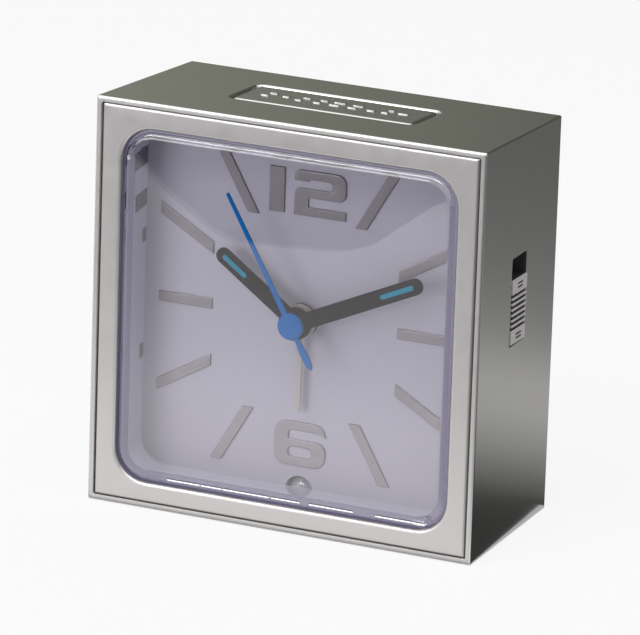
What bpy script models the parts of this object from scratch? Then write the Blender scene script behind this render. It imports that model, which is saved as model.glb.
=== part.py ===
"""Small square quartz alarm clock, built piece by piece as it comes apart on a bench.

Units are metres, +Z is up and the dial faces -Y. The origin lies under the middle of the
case, on the surface that the clock stands on. "Depth" is the distance behind the case's
front edge: every fixed piece hangs from an empty at depth 0, so its own Y is its depth.
"Clockwise" is as seen from the front, which is a positive turn about +Y.
"""

import math

import bmesh
import bpy
from mathutils import Vector
from mathutils.geometry import delaunay_2d_cdt

MM = 0.001
TAU = 2.0 * math.pi

# Clearances
GAP = 0.3 * MM             # between two pieces that rest on each other
RUNNING_GAP = 0.15 * MM    # round a shaft in its bearing

# Case: a square sleeve whose top and sides draw in towards the back
CASE_WIDTH = 75.0 * MM
CASE_HEIGHT = 75.0 * MM
CASE_DEPTH = 36.5 * MM
TOP_FALL = 1.7 * MM
SIDE_TAPER = 1.1 * MM
CASE_WALL = 2.1 * MM       # top and sides at the back edge
CASE_FLOOR = 2.0 * MM
CASE_EDGE = 0.4 * MM
RIM_WALL = 1.05 * MM       # the thin rim round the bezel

# Bezel and its window
BEZEL_GAP = 0.25 * MM
BEZEL_THICK = 2.9 * MM
BEZEL_EDGE = 0.5 * MM
BEZEL_SHARP = 0.05 * MM    # corner radius left at the very front
WINDOW_SIDE = 5.2 * MM     # window in from the case's sides
WINDOW_FOOT = 4.85 * MM    # and from its bottom
WINDOW_HEAD = 4.95 * MM    # and from its top
WINDOW_RADIUS = 6.0 * MM
WINDOW_LIP = 0.8 * MM

# Lens: a clear box that stands on the dial
LENS_GAP = 0.2 * MM
LENS_FRONT = 0.1 * MM
LENS_PLATE = 1.8 * MM
LENS_WALL = 1.1 * MM
LENS_EDGE = 1.7 * MM
LENS_TAB = 1.0 * MM
LENS_TAB_THICK = 1.2 * MM
LENS_TAB_LENGTH = 40.0 * MM

# Dial, with the hour bars between an inner and an outer square
DIAL_SHARE = 0.25          # share of the case's depth in front of the dial
DIAL_SET = 0.775 * MM      # dial face behind that share
DIAL_THICK = 0.8 * MM
DIAL_DROP = 0.25 * MM      # dial's middle below the window's
DIAL_HOLE = 3.4 * MM
DIAL_INSET = 0.6 * MM      # dial edge inside the lens's outer wall
MARKER_HEIGHT = 0.6 * MM   # marker face in front of the dial
BAR_MARGIN = 2.4 * MM      # outer square in from the lens's walls
BAR_LENGTH = 10.6 * MM     # from the inner square to the outer
BAR_WIDTH = 1.9 * MM
NUMERAL_WIDTH = 10.0 * MM
NUMERAL_HEIGHT = 8.3 * MM
TWELVE_INSET = 1.4 * MM    # 12 in from the outer square
SIX_INSET = 1.05 * MM      # 6 in from it
ONE_WIDTH = 2.95 * MM
NUMERAL_STEM = 2.75 * MM
NUMERAL_BAR = 1.65 * MM
NUMERAL_SPACE = 1.9 * MM
SIX_BOWL = 1.9 * MM        # height of the hole in the 6
SIX_WAIST = 1.4 * MM

# Lamp under the 6
LAMP_RADIUS = 2.5 * MM
LAMP_TOP = 7.5 * MM
LAMP_FLANGE = 0.4 * MM
LAMP_FLANGE_THICK = 1.0 * MM
LAMP_SEAT = 3.3 * MM

# Time shown at rest
HOUR_SHOWN = 10
MINUTE_SHOWN = 10
SECOND_SHOWN = 55
ALARM_HOUR = 6

# Hands
SECOND_HAND_RISE = 5.8 * MM    # in front of the dial
MINUTE_HAND_RISE = 4.6 * MM
HOUR_HAND_RISE = 3.4 * MM
ALARM_HAND_RISE = 2.0 * MM
HAND_THICK = 0.4 * MM
SECOND_SHORT = 2.5 * MM        # tip inside the outer square
MINUTE_SHORT = 1.7 * MM
HOUR_PAST = 1.2 * MM           # tip outside the inner square
ALARM_SHORT = 1.0 * MM         # tip inside it
SECOND_HAND_WIDTH = 1.0 * MM
SECOND_TIP_WIDTH = 0.6 * MM
SECOND_TAIL_LENGTH = 8.5 * MM
SECOND_TAIL_WIDTH = 1.1 * MM
SECOND_CAP_RADIUS = 2.4 * MM
SECOND_CAP_LIP = 0.1 * MM
SECOND_CAP_FRONT = 0.8 * MM
SECOND_CAP_BACK = 0.7 * MM
BROAD_HAND_WIDTH = 3.0 * MM
HAND_DISC_RADIUS = 2.9 * MM
HAND_HUB_RADIUS = 2.7 * MM
HAND_HUB_DEPTH = 0.45 * MM
ALARM_HAND_WIDTH = 1.0 * MM
LUME_WIDTH = 1.0 * MM
LUME_ROUND = 0.45 * MM
LUME_INSET = 1.8 * MM      # lume end behind the hand's tip
MINUTE_LUME_LENGTH = 6.9 * MM
HOUR_LUME_LENGTH = 5.7 * MM
LUME_THICK = 0.1 * MM
LUME_GAP = 0.05 * MM

# Nested shafts of the four hands: outer radii, with a running gap inside each tube
SECONDS_SHAFT = 0.45 * MM
TUBE_WALL = 0.4 * MM
NOSE_WALL = 0.7 * MM

# Wheel train: tooth counts and modules
ROTOR_PINION = 6
INTERMEDIATE_WHEEL = 30
INTERMEDIATE_PINION = 6
SECONDS_WHEEL = 36
SECONDS_PINION = 6
THIRD_WHEEL = 45
THIRD_PINION = 6
MINUTE_WHEEL = 48
CANNON_PINION = 8
WORKS_WHEEL = 24
WORKS_PINION = 8
HOUR_WHEEL = 32
TIME_PINION = 12
ALARM_WHEEL = 32
ALARM_PINION = 16
ROTOR_MODULE = 0.38 * MM
SECONDS_MODULE = 0.40 * MM
MINUTE_MODULE = 0.31 * MM
HOUR_MODULE = 0.48 * MM
ALARM_MODULE = 0.50 * MM
ADDENDUM = 0.8             # in modules
DEDENDUM = 1.1
TOOTH_ROOT = 0.55          # in tooth pitches
TOOTH_TIP = 0.18
WHEEL_THICK = 0.8 * MM
PINION_THICK = 1.2 * MM
ARBOR_RADIUS = 0.45 * MM
STEM_RADIUS = 1.0 * MM     # the two setting shafts
POST_RADIUS = 0.6 * MM
WORKS_HUB_WALL = 0.35 * MM

# Where each arbor stands: clockwise from straight up, seen from the arbor before it
THIRD_BEARING = math.radians(258)
INTERMEDIATE_BEARING = math.radians(110)
ROTOR_BEARING = math.radians(100)
SETTING_BEARING = math.radians(45)

# Movement case
PLATE_THICK = 1.2 * MM
BRIDGE_THICK = 0.8 * MM
MOVEMENT_WALL = 1.2 * MM
MOVEMENT_HALF_WIDTH = 24.0 * MM
MOVEMENT_ABOVE = 14.8 * MM     # above the dial's middle
MOVEMENT_DROP = 4.55 * MM      # foot below halfway from the battery bay to the dial's middle
PILLAR_RADIUS = 1.2 * MM
EAR_LENGTH = 4.0 * MM
EAR_WIDTH = 6.0 * MM
EAR_THICK = 1.1 * MM
EAR_OFFSET = 16.0 * MM

# Stepping motor
MAGNET_RADIUS = 1.8 * MM
MAGNET_LENGTH = 2.6 * MM
MAGNET_WALL = 0.35 * MM
STATOR_THICK = 0.8 * MM
STATOR_HOLE = 2.4 * MM
STATOR_WIDTH = 6.4 * MM
STATOR_FOOT = 2.5 * MM
COIL_OFFSET = 5.6 * MM         # coil axis beside the rotor axis
COIL_RADIUS = 2.1 * MM
COIL_FLANGE = 0.5 * MM
WINDING_RADIUS = 1.8 * MM
CORE_WIDTH = 1.6 * MM
CORE_THICK = 0.8 * MM

# Carrier plate behind the dial
CARRIER_THICK = 1.2 * MM
CARRIER_ARM = 1.2 * MM
SHELF_LENGTH = 14.5 * MM
SHELF_WIDTH = 3.0 * MM
SHELF_OFFSET = 15.0 * MM

# Posts behind the bezel's corners and the screws in them
CASE_POST_RADIUS = 1.3 * MM
CASE_SCREW_RADIUS = 0.6 * MM
CASE_SCREW_LENGTH = 9.0 * MM
SCREW_HEAD_RADIUS = 1.4 * MM
SCREW_HEAD_THICK = 0.8 * MM
SCREW_SLOT_WIDTH = 0.4 * MM
SCREW_SLOT_LENGTH = 1.8 * MM
SCREW_SLOT_DEPTH = 0.4 * MM
SCREW_SEAT_RIM = 0.3 * MM      # cover outside a screw seat
MOVEMENT_SCREW_RADIUS = 0.6 * MM
MOVEMENT_SCREW_HEAD = 1.3 * MM
MOVEMENT_SCREW_HEAD_THICK = 0.8 * MM
MOVEMENT_SCREW_LENGTH = 2.3 * MM

# Rear cover
COVER_INSET = 0.5 * MM         # cover face in from the case's rear edge
COVER_THICK = 1.8 * MM
COVER_SCREW_SEAT = 0.7 * MM    # cover left under a screw head
CUP_RADIUS = 6.4 * MM
CUP_WALL = 1.2 * MM
CUP_FLOOR = 1.2 * MM
CUP_DEPTH = 3.4 * MM
SOUND_SLOTS = 5
SOUND_SLOT_WIDTH = 1.0 * MM
SOUND_SLOT_PITCH = 2.2 * MM

# Battery and its bay
CELL_RADIUS = 7.25 * MM
CELL_ROOM = 19.4 * MM          # cavity width beside the cell's body, for contacts, walls and posts
CELL_NUB = 1.0 * MM
CELL_NUB_RADIUS = 2.6 * MM
CELL_MIDDLE = 12.3 * MM
BAY_GAP = 0.35 * MM
BAY_WALL = 1.2 * MM
CONTACT_THICK = 0.4 * MM
MINUS_SPRING = 3.1 * MM
MINUS_WIRE = 0.3 * MM
MINUS_TURNS = 3
MINUS_RADIUS = 3.2 * MM
MINUS_TIP_RADIUS = 1.8 * MM
DOOR_THICK = 1.2 * MM
DOOR_LIP = 0.9 * MM            # door past the bay's inner edge
DOOR_PIN_RADIUS = 0.3 * MM
DOOR_PIN_LENGTH = 0.7 * MM
DOOR_NOTCH_WIDTH = 12.0 * MM
DOOR_NOTCH_DEPTH = 0.6 * MM
DOOR_NOTCH_HEIGHT = 2.0 * MM
DOOR_GROOVES = 5
DOOR_GROOVE_PITCH = 1.6 * MM
DOOR_GROOVE_WIDTH = 0.8 * MM
DOOR_GROOVE_HEIGHT = 3.0 * MM
DOOR_GROOVE_DEPTH = 0.3 * MM

# Knobs
KNOB_RADIUS = 5.5 * MM
KNOB_FLUTES = 20
KNOB_FLUTE_DEPTH = 0.35 * MM
KNOB_THICK = 2.0 * MM
KNOB_GRIP_THICK = 1.0 * MM
KNOB_GRIP_RADIUS = 3.8 * MM

# Snooze bar in the top
SNOOZE_HALF_WIDTH = 17.7 * MM
SNOOZE_FRONT = 13.1 * MM
SNOOZE_BACK = 25.8 * MM
SNOOZE_RADIUS = 1.3 * MM
SNOOZE_GAP = 0.25 * MM
SNOOZE_SET = 0.1 * MM          # bar below the case's top face
SNOOZE_EDGE = 0.35 * MM
SNOOZE_FLANGE = 1.0 * MM
SNOOZE_FLANGE_THICK = 1.2 * MM
SNOOZE_TRAVEL = 1.2 * MM
SNOOZE_SPRING_OFFSET = 12.0 * MM
SNOOZE_SPRING_RADIUS = 1.7 * MM
SNOOZE_SPRING_WIRE = 0.25 * MM
SNOOZE_SPRING_PITCH = 0.8 * MM
SNOOZE_STEM_RADIUS = 1.0 * MM
SPRING_ARM_DROP = 0.05 * MM    # arm top below halfway from the board to the bar's flange
SPRING_ARM_WIDTH = 4.6 * MM

# Circuit board above the movement
BOARD_RISE = 8.8 * MM          # board top above the movement
BOARD_THICK = 1.6 * MM
BOARD_HALF_WIDTH = 20.0 * MM
BOARD_LENGTH = 13.7 * MM
TACT_SIZE = 6.0 * MM
TACT_HEIGHT = 3.0 * MM
TACT_PLUNGER_RADIUS = 1.6 * MM
TACT_PLUNGER_RISE = 1.6 * MM
TACT_BORE_DEPTH = 2.4 * MM
CHIP_RADIUS = 3.2 * MM
CHIP_HEIGHT = 1.2 * MM
CHIP_ROUND = 0.5 * MM
CHIP_OFFSET = 8.2 * MM
CRYSTAL_RADIUS = 1.0 * MM
CRYSTAL_LENGTH = 6.0 * MM

# Buzzer behind the sound slots
BUZZER_RADIUS = 6.5 * MM
BUZZER_HEIGHT = 5.2 * MM
BUZZER_HOLE = 1.0 * MM
BUZZER_SIDE = 9.3 * MM         # middle in from the cavity's side
BUZZER_DROP = 9.2 * MM         # and from its top
BUZZER_RING_WALL = 1.0 * MM

# Alarm switch in the right side
SLOT_FRONT = 14.8 * MM
SLOT_BACK = 21.6 * MM
SLOT_DROP = 1.2 * MM           # slot's foot below the dial's middle
SLOT_HEIGHT = 16.2 * MM
SLIDER_GAP = 0.3 * MM
SLIDER_LENGTH = 12.0 * MM
SLIDER_PROUD = 0.35 * MM
SLIDER_RIDGES = 7
SLIDER_RIDGE_PITCH = 1.0 * MM
SLIDER_RIDGE_DEPTH = 0.35 * MM
SLIDER_PLATE = 1.0 * MM
SLIDER_PLATE_LAP = 1.4 * MM
SWITCH_CLEAR = 2.6 * MM        # room for the bracket beside the movement
SWITCH_HEIGHT = 14.0 * MM
SWITCH_DEPTH = 7.0 * MM
ACTUATOR_LENGTH = 0.8 * MM
ACTUATOR_SIZE = 2.0 * MM

# Alarm contact: a leaf on the bridge that the alarm wheel's cam lifts
LEAF_WIDTH = 2.4 * MM
LEAF_LENGTH = 12.0 * MM
LEAF_THICK = 0.25 * MM

ARC_STEPS = 6
ROUND_STEPS = 16
FILL_TOLERANCE = 0.0001 * MM

# Worked out from the sizes above
REBATE_HALF_WIDTH = CASE_WIDTH / 2 - RIM_WALL
BEZEL_HALF_WIDTH = REBATE_HALF_WIDTH - BEZEL_GAP
BEZEL_BOTTOM = RIM_WALL + BEZEL_GAP
BEZEL_TOP = CASE_HEIGHT - RIM_WALL - BEZEL_GAP
CAVITY_HALF_WIDTH = CASE_WIDTH / 2 - SIDE_TAPER - CASE_WALL
CAVITY_TOP = CASE_HEIGHT - TOP_FALL - CASE_WALL
WINDOW_WIDTH = CASE_WIDTH - 2 * WINDOW_SIDE
WINDOW_HEIGHT = CASE_HEIGHT - WINDOW_FOOT - WINDOW_HEAD
WINDOW_MIDDLE = WINDOW_FOOT + WINDOW_HEIGHT / 2
DIAL_DEPTH = CASE_DEPTH * DIAL_SHARE + DIAL_SET
DIAL_MIDDLE = WINDOW_MIDDLE - DIAL_DROP
LENS_HALF_WIDTH = WINDOW_WIDTH / 2 - LENS_GAP
LENS_HALF_HEIGHT = WINDOW_HEIGHT / 2 - LENS_GAP
LENS_BACK = DIAL_DEPTH - GAP
BAR_OUTER = min(LENS_HALF_WIDTH, LENS_HALF_HEIGHT - DIAL_DROP) - LENS_WALL - BAR_MARGIN
BAR_INNER = BAR_OUTER - BAR_LENGTH
TWELVE_BOTTOM = BAR_OUTER - TWELVE_INSET - NUMERAL_HEIGHT
SIX_TOP = BAR_OUTER - SIX_INSET - NUMERAL_HEIGHT
SECOND_HAND_DEPTH = DIAL_DEPTH - SECOND_HAND_RISE
MINUTE_HAND_DEPTH = DIAL_DEPTH - MINUTE_HAND_RISE
HOUR_HAND_DEPTH = DIAL_DEPTH - HOUR_HAND_RISE
ALARM_HAND_DEPTH = DIAL_DEPTH - ALARM_HAND_RISE
SECOND_HAND_LENGTH = BAR_OUTER - SECOND_SHORT
MINUTE_HAND_LENGTH = BAR_OUTER - MINUTE_SHORT
HOUR_HAND_LENGTH = BAR_INNER + HOUR_PAST
ALARM_HAND_LENGTH = BAR_INNER - ALARM_SHORT
PLATE_FRONT = DIAL_DEPTH + DIAL_THICK + GAP
PLATE_BACK = PLATE_FRONT + PLATE_THICK
PLANE_PITCH = PINION_THICK + GAP
ALARM_PLANE = PLATE_BACK + GAP + PINION_THICK / 2
HOUR_PLANE = ALARM_PLANE + PLANE_PITCH
CANNON_PLANE = HOUR_PLANE + PLANE_PITCH
BRIDGE_FRONT = CANNON_PLANE + PINION_THICK / 2 + GAP
BRIDGE_BACK = BRIDGE_FRONT + BRIDGE_THICK
MINUTE_PLANE = BRIDGE_BACK + GAP + PINION_THICK / 2
THIRD_PLANE = MINUTE_PLANE + PLANE_PITCH
SECONDS_PLANE = THIRD_PLANE + PLANE_PITCH
ROTOR_PLANE = SECONDS_PLANE + PLANE_PITCH
BACK_PLATE_FRONT = ROTOR_PLANE + PINION_THICK / 2 + GAP
BACK_PLATE_BACK = BACK_PLATE_FRONT + PLATE_THICK
STATOR_PLANE = THIRD_PLANE
MOVEMENT_TOP = DIAL_MIDDLE + MOVEMENT_ABOVE
COVER_BACK = CASE_DEPTH - COVER_INSET
COVER_FRONT = COVER_BACK - COVER_THICK
CUP_FACE = COVER_BACK - CUP_DEPTH
DOOR_FRONT = COVER_BACK - DOOR_THICK
CELL_DEPTH = DOOR_FRONT - GAP - CELL_RADIUS - BAY_GAP
BAY_FRONT = CELL_DEPTH - CELL_RADIUS - BAY_GAP
BAY_BOTTOM = CELL_MIDDLE - CELL_RADIUS - BAY_GAP
BAY_TOP = CELL_MIDDLE + CELL_RADIUS + BAY_GAP
MOVEMENT_BOTTOM = (DIAL_MIDDLE + BAY_TOP + BAY_WALL) / 2 - MOVEMENT_DROP
CELL_BODY = 2 * CAVITY_HALF_WIDTH - CELL_ROOM
CELL_LEFT = -(CELL_BODY + CELL_NUB) / 2 + (MINUS_SPRING - CONTACT_THICK) / 2
BAY_LEFT = CELL_LEFT - MINUS_SPRING - 2 * GAP
BAY_RIGHT = CELL_LEFT + CELL_BODY + CELL_NUB + CONTACT_THICK + 2 * GAP
SCREW_SEAT_RADIUS = SCREW_HEAD_RADIUS + GAP
CASE_POST_INSET = GAP + SCREW_SEAT_RIM + SCREW_SEAT_RADIUS
CASE_POST_X = CAVITY_HALF_WIDTH - CASE_POST_INSET
CASE_POST_LOW = CASE_FLOOR + CASE_POST_INSET
CASE_POST_HIGH = CAVITY_TOP - CASE_POST_INSET
CASE_POSTS = [(x, z) for x in (-CASE_POST_X, CASE_POST_X) for z in (CASE_POST_LOW, CASE_POST_HIGH)]
DOOR_BOTTOM = BAY_BOTTOM - DOOR_LIP + GAP
DOOR_TOP = BAY_TOP + DOOR_LIP - GAP
DOOR_LEFT = BAY_LEFT - DOOR_LIP + GAP
DOOR_RIGHT = BAY_RIGHT + DOOR_LIP - GAP
HINGE_DEPTH = COVER_BACK - DOOR_THICK / 2
HINGE_Z = DOOR_BOTTOM + DOOR_THICK / 2
LAMP_DEPTH = LENS_BACK + GAP + LAMP_RADIUS
SNOOZE_MIDDLE = (SNOOZE_FRONT + SNOOZE_BACK) / 2
SNOOZE_LAP = SNOOZE_GAP + SNOOZE_FLANGE
SNOOZE_FLANGE_TOP = CAVITY_TOP - GAP
SNOOZE_FLANGE_BOTTOM = SNOOZE_FLANGE_TOP - SNOOZE_FLANGE_THICK
BOARD_TOP = MOVEMENT_TOP + BOARD_RISE
SPRING_ARM_TOP = (BOARD_TOP + SNOOZE_FLANGE_BOTTOM) / 2 - SPRING_ARM_DROP
CRYSTAL_OFFSET = (TACT_SIZE / 2 + SNOOZE_SPRING_OFFSET - SPRING_ARM_WIDTH / 2) / 2
BUZZER_X = BUZZER_SIDE - CAVITY_HALF_WIDTH
BUZZER_Z = CAVITY_TOP - BUZZER_DROP
SLOT_BOTTOM = DIAL_MIDDLE - SLOT_DROP
SLOT_TOP = SLOT_BOTTOM + SLOT_HEIGHT
SLOT_MIDDLE = (SLOT_FRONT + SLOT_BACK) / 2
SLIDER_PLATE_RIGHT = CAVITY_HALF_WIDTH - GAP
SLIDER_PLATE_LEFT = SLIDER_PLATE_RIGHT - SLIDER_PLATE
SWITCH_LEFT = MOVEMENT_HALF_WIDTH + SWITCH_CLEAR
SWITCH_THICK = SLIDER_PLATE_LEFT - 2 * GAP - ACTUATOR_LENGTH - SWITCH_LEFT

# Tube radii from the inside out
MINUTE_BORE = SECONDS_SHAFT + RUNNING_GAP
MINUTE_TUBE = MINUTE_BORE + TUBE_WALL
HOUR_BORE = MINUTE_TUBE + RUNNING_GAP
HOUR_TUBE = HOUR_BORE + TUBE_WALL
ALARM_BORE = HOUR_TUBE + RUNNING_GAP
ALARM_TUBE = ALARM_BORE + TUBE_WALL
NOSE_BORE = ALARM_TUBE + RUNNING_GAP
NOSE_RADIUS = NOSE_BORE + NOSE_WALL

LOOKS = {
    "case_metal": ((0.45, 0.45, 0.41), 0.32, 0.85),
    "bezel_metal": ((0.70, 0.69, 0.67), 0.38, 0.75),
    "clear": ((0.92, 0.92, 0.96), 0.04, 0.0),
    "dial_card": ((0.68, 0.67, 0.74), 0.6, 0.0),
    "hand_black": ((0.10, 0.10, 0.11), 0.5, 0.0),
    "lume_teal": ((0.20, 0.55, 0.62), 0.6, 0.0),
    "hand_blue": ((0.05, 0.32, 0.68), 0.4, 0.0),
    "hand_sand": ((0.72, 0.69, 0.62), 0.5, 0.0),
    "black_plastic": ((0.06, 0.06, 0.065), 0.5, 0.0),
    "grey_plastic": ((0.55, 0.56, 0.58), 0.5, 0.0),
    "white_plastic": ((0.86, 0.86, 0.84), 0.5, 0.0),
    "steel": ((0.62, 0.62, 0.62), 0.3, 1.0),
    "copper": ((0.72, 0.36, 0.20), 0.35, 1.0),
    "magnet": ((0.20, 0.20, 0.21), 0.4, 0.8),
    "board": ((0.05, 0.28, 0.14), 0.5, 0.0),
    "cell_wrap": ((0.10, 0.12, 0.16), 0.35, 0.0),
}


def clear_scene():
    for obj in list(bpy.data.objects):
        bpy.data.objects.remove(obj)


def make_looks():
    """One Principled material for each entry of LOOKS."""
    made = {}
    for name, (colour, roughness, metallic) in LOOKS.items():
        material = bpy.data.materials.new(name)
        material.use_nodes = True
        shader = material.node_tree.nodes["Principled BSDF"]
        shader.inputs["Base Color"].default_value = (*colour, 1.0)
        shader.inputs["Roughness"].default_value = roughness
        shader.inputs["Metallic"].default_value = metallic
        made[name] = material
    return made


def add_empty(name, location, parent=None):
    empty = bpy.data.objects.new(name, None)
    bpy.context.collection.objects.link(empty)
    empty.location = location
    empty.parent = parent
    return empty


def add_piece(name, mesh, look, at=(0.0, 0.0, 0.0), turn=0.0, parent=None):
    """Make an object of a bmesh, at a point of its parent and turned clockwise."""
    data = bpy.data.meshes.new(name)
    mesh.to_mesh(data)
    mesh.free()
    data.materials.append(materials[look])
    data.shade_smooth()
    data.set_sharp_from_angle(angle=math.radians(35))
    obj = bpy.data.objects.new(name, data)
    bpy.context.collection.objects.link(obj)
    obj.parent = parent or front
    obj.location = at
    obj.rotation_euler.y = turn
    return obj


def combine(target, mesh, operation):
    """Join a bmesh to a piece, or cut it out. Both are drawn in the piece's own frame."""
    name = f"{target.name}_{operation.lower()}_{len(target.modifiers)}"
    tool = add_piece(name, mesh, "steel", parent=target)
    tool.hide_render = True
    tool.display_type = "WIRE"
    modifier = target.modifiers.new(operation.title(), "BOOLEAN")
    modifier.operation = operation
    modifier.solver = "EXACT"
    modifier.object = tool


def cut(target, mesh):
    combine(target, mesh, "DIFFERENCE")


def join(target, mesh):
    combine(target, mesh, "UNION")


def placed(axis, u, v, w):
    """Outline point (u, v) at distance w along an axis: X outlines are (depth, z), Y (x, z), Z (x, depth)."""
    return {"X": (w, u, v), "Y": (u, w, v), "Z": (u, v, w)}[axis]


def circle(radius, steps=ROUND_STEPS, centre=(0.0, 0.0)):
    turns = [k * TAU / steps for k in range(steps)]
    return [(centre[0] + radius * math.sin(a), centre[1] + radius * math.cos(a)) for a in turns]


def rectangle(left, right, bottom, top):
    return [(left, bottom), (right, bottom), (right, top), (left, top)]


def arc(centre, radius, start, end, steps=3):
    """Points on an arc, with angles in degrees counted clockwise from up."""
    angles = [math.radians(start + (end - start) * k / steps) for k in range(steps + 1)]
    return [(centre[0] + radius * math.sin(a), centre[1] + radius * math.cos(a)) for a in angles]


def rounded(left, right, bottom, top, radius, steps=3):
    """A rectangle with round corners, clockwise from the middle of its top right corner."""
    corners = [
        ((right - radius, top - radius), 0),
        ((right - radius, bottom + radius), 90),
        ((left + radius, bottom + radius), 180),
        ((left + radius, top - radius), 270),
    ]
    return [point for centre, start in corners for point in arc(centre, radius, start, start + 90, steps)]


def grown(half_width, half_height, middle, radius, by, steps=ARC_STEPS):
    """A round-cornered rectangle about (0, middle), moved out by a distance."""
    w = half_width + by
    h = half_height + by
    return rounded(-w, w, middle - h, middle + h, radius + by, steps)


def add_loop(mesh, outline, w, axis):
    verts = [mesh.verts.new(placed(axis, u, v, w)) for u, v in outline]
    edges = [mesh.edges.new(pair) for pair in zip(verts, verts[1:] + verts[:1])]
    return verts, edges


def add_sides(mesh, low, high):
    """Faces between two loops, either of which may be a single point."""
    steps = max(len(low), len(high))
    for i in range(steps):
        j = (i + 1) % steps
        corners = (low[i % len(low)], low[j % len(low)], high[j % len(high)], high[i % len(high)])
        mesh.faces.new(list(dict.fromkeys(corners)))


def crossings(point, segments):
    """How many segments a ray from the point towards +X meets."""
    met = 0
    for start, end in segments:
        if (start.y > point.y) != (end.y > point.y):
            share = (point.y - start.y) / (end.y - start.y)
            met += point.x < start.x + (end.x - start.x) * share
    return met


def fill_flat(mesh, edges, axis):
    """Triangles over the flat region between loops of edges; a loop inside another is a hole."""
    verts = list(dict.fromkeys(vert for edge in edges for vert in edge.verts))
    order = {vert: i for i, vert in enumerate(verts)}
    across = [i for i in range(3) if i != "XYZ".index(axis)]
    flat = [Vector([vert.co[i] for i in across]) for vert in verts]
    pairs = [tuple(order[vert] for vert in edge.verts) for edge in edges]
    segments = [(flat[a], flat[b]) for a, b in pairs]
    inside_outlines = 1
    result = delaunay_2d_cdt(flat, pairs, [], inside_outlines, FILL_TOLERANCE)
    triangles = result[2]
    origins = result[3]
    for triangle in triangles:
        corners = [origins[i][0] for i in triangle]
        centre = sum((flat[i] for i in corners), Vector((0.0, 0.0))) / 3
        if crossings(centre, segments) % 2:
            mesh.faces.new([verts[i] for i in corners])


def stacked(levels, holes=(), axis="Y"):
    """A solid of outlines stacked face to face, (outline, start, end), with holes right through."""
    mesh = bmesh.new()
    start = levels[0][1]
    end = levels[-1][2]
    front_edges = []
    back_edges = []
    for hole in holes:
        low, low_edges = add_loop(mesh, hole, start, axis)
        high, high_edges = add_loop(mesh, hole, end, axis)
        add_sides(mesh, low, high)
        front_edges += low_edges
        back_edges += high_edges
    last_edges = front_edges
    for outline, level_start, level_end in levels:
        low, low_edges = add_loop(mesh, outline, level_start, axis)
        high, high_edges = add_loop(mesh, outline, level_end, axis)
        add_sides(mesh, low, high)
        fill_flat(mesh, last_edges + low_edges, axis)
        last_edges = high_edges
    fill_flat(mesh, last_edges + back_edges, axis)
    bmesh.ops.recalc_face_normals(mesh, faces=mesh.faces[:])
    return mesh


def block(x, depth, z):
    """A box from (low, high) pairs."""
    return stacked([(rectangle(*x, *z), *depth)])


def tray(outer, inner, start, floor_end, end, holes=()):
    """An open box: a floor with holes from start to floor_end, and walls to end."""
    mesh = bmesh.new()
    outside, outside_edges = add_loop(mesh, outer, start, "Y")
    rim, rim_edges = add_loop(mesh, outer, end, "Y")
    inner_rim, inner_rim_edges = add_loop(mesh, inner, end, "Y")
    inside, inside_edges = add_loop(mesh, inner, floor_end, "Y")
    add_sides(mesh, outside, rim)
    add_sides(mesh, inner_rim, inside)
    for hole in holes:
        low, low_edges = add_loop(mesh, hole, start, "Y")
        high, high_edges = add_loop(mesh, hole, floor_end, "Y")
        add_sides(mesh, low, high)
        outside_edges += low_edges
        inside_edges += high_edges
    fill_flat(mesh, outside_edges, "Y")
    fill_flat(mesh, rim_edges + inner_rim_edges, "Y")
    fill_flat(mesh, inside_edges, "Y")
    bmesh.ops.recalc_face_normals(mesh, faces=mesh.faces[:])
    return mesh


def turned(profile, steps=ROUND_STEPS, axis="Y"):
    """A body turned about an axis from (radius, distance) points; a profile off the axis closes on itself."""
    mesh = bmesh.new()
    rings = []
    for radius, w in profile:
        outline = circle(radius, steps) if radius else [(0.0, 0.0)]
        rings.append([mesh.verts.new(placed(axis, u, v, w)) for u, v in outline])
    for low, high in zip(rings, rings[1:]):
        add_sides(mesh, low, high)
    if len(rings[0]) > 1:
        add_sides(mesh, rings[-1], rings[0])
    bmesh.ops.recalc_face_normals(mesh, faces=mesh.faces[:])
    return mesh


def swept(rings, closed, axis="Y"):
    """A skin over loops of equal count, (outline, distance): a closed ring, or capped at both ends."""
    mesh = bmesh.new()
    loops = [add_loop(mesh, outline, w, axis)[0] for outline, w in rings]
    for low, high in zip(loops, loops[1:]):
        add_sides(mesh, low, high)
    if closed:
        add_sides(mesh, loops[-1], loops[0])
    else:
        mesh.faces.new(loops[0])
        mesh.faces.new(loops[-1])
    bmesh.ops.recalc_face_normals(mesh, faces=mesh.faces[:])
    return mesh


def tube_along(points, radius, sides):
    """A round wire along points, with flat ends. Each ring stands square to its neighbours."""
    mesh = bmesh.new()
    rings = []
    for i, point in enumerate(points):
        ahead = points[min(i + 1, len(points) - 1)]
        behind = points[max(i - 1, 0)]
        run = (ahead - behind).normalized()
        side = run.orthogonal().normalized() if i == 0 else (side - run * side.dot(run)).normalized()
        other = run.cross(side)
        ring = [point + side * u + other * v for u, v in circle(radius, sides)]
        rings.append([mesh.verts.new(corner) for corner in ring])
    for low, high in zip(rings, rings[1:]):
        add_sides(mesh, low, high)
    mesh.faces.new(rings[0])
    mesh.faces.new(rings[-1])
    bmesh.ops.recalc_face_normals(mesh, faces=mesh.faces[:])
    return mesh


def helix(radius, end_radius, start, end, turns, steps_per_turn, axis):
    steps = turns * steps_per_turn
    points = []
    for k in range(steps + 1):
        share = k / steps
        u, v = polar(radius + (end_radius - radius) * share, share * turns * TAU)
        points.append(Vector(placed(axis, u, v, start + (end - start) * share)))
    return points


def merged(meshes):
    """Several bodies in one bmesh, to join to a piece or cut from it together."""
    whole = bmesh.new()
    for mesh in meshes:
        data = bpy.data.meshes.new("merged")
        mesh.to_mesh(data)
        mesh.free()
        whole.from_mesh(data)
        bpy.data.meshes.remove(data)
    return whole


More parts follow.
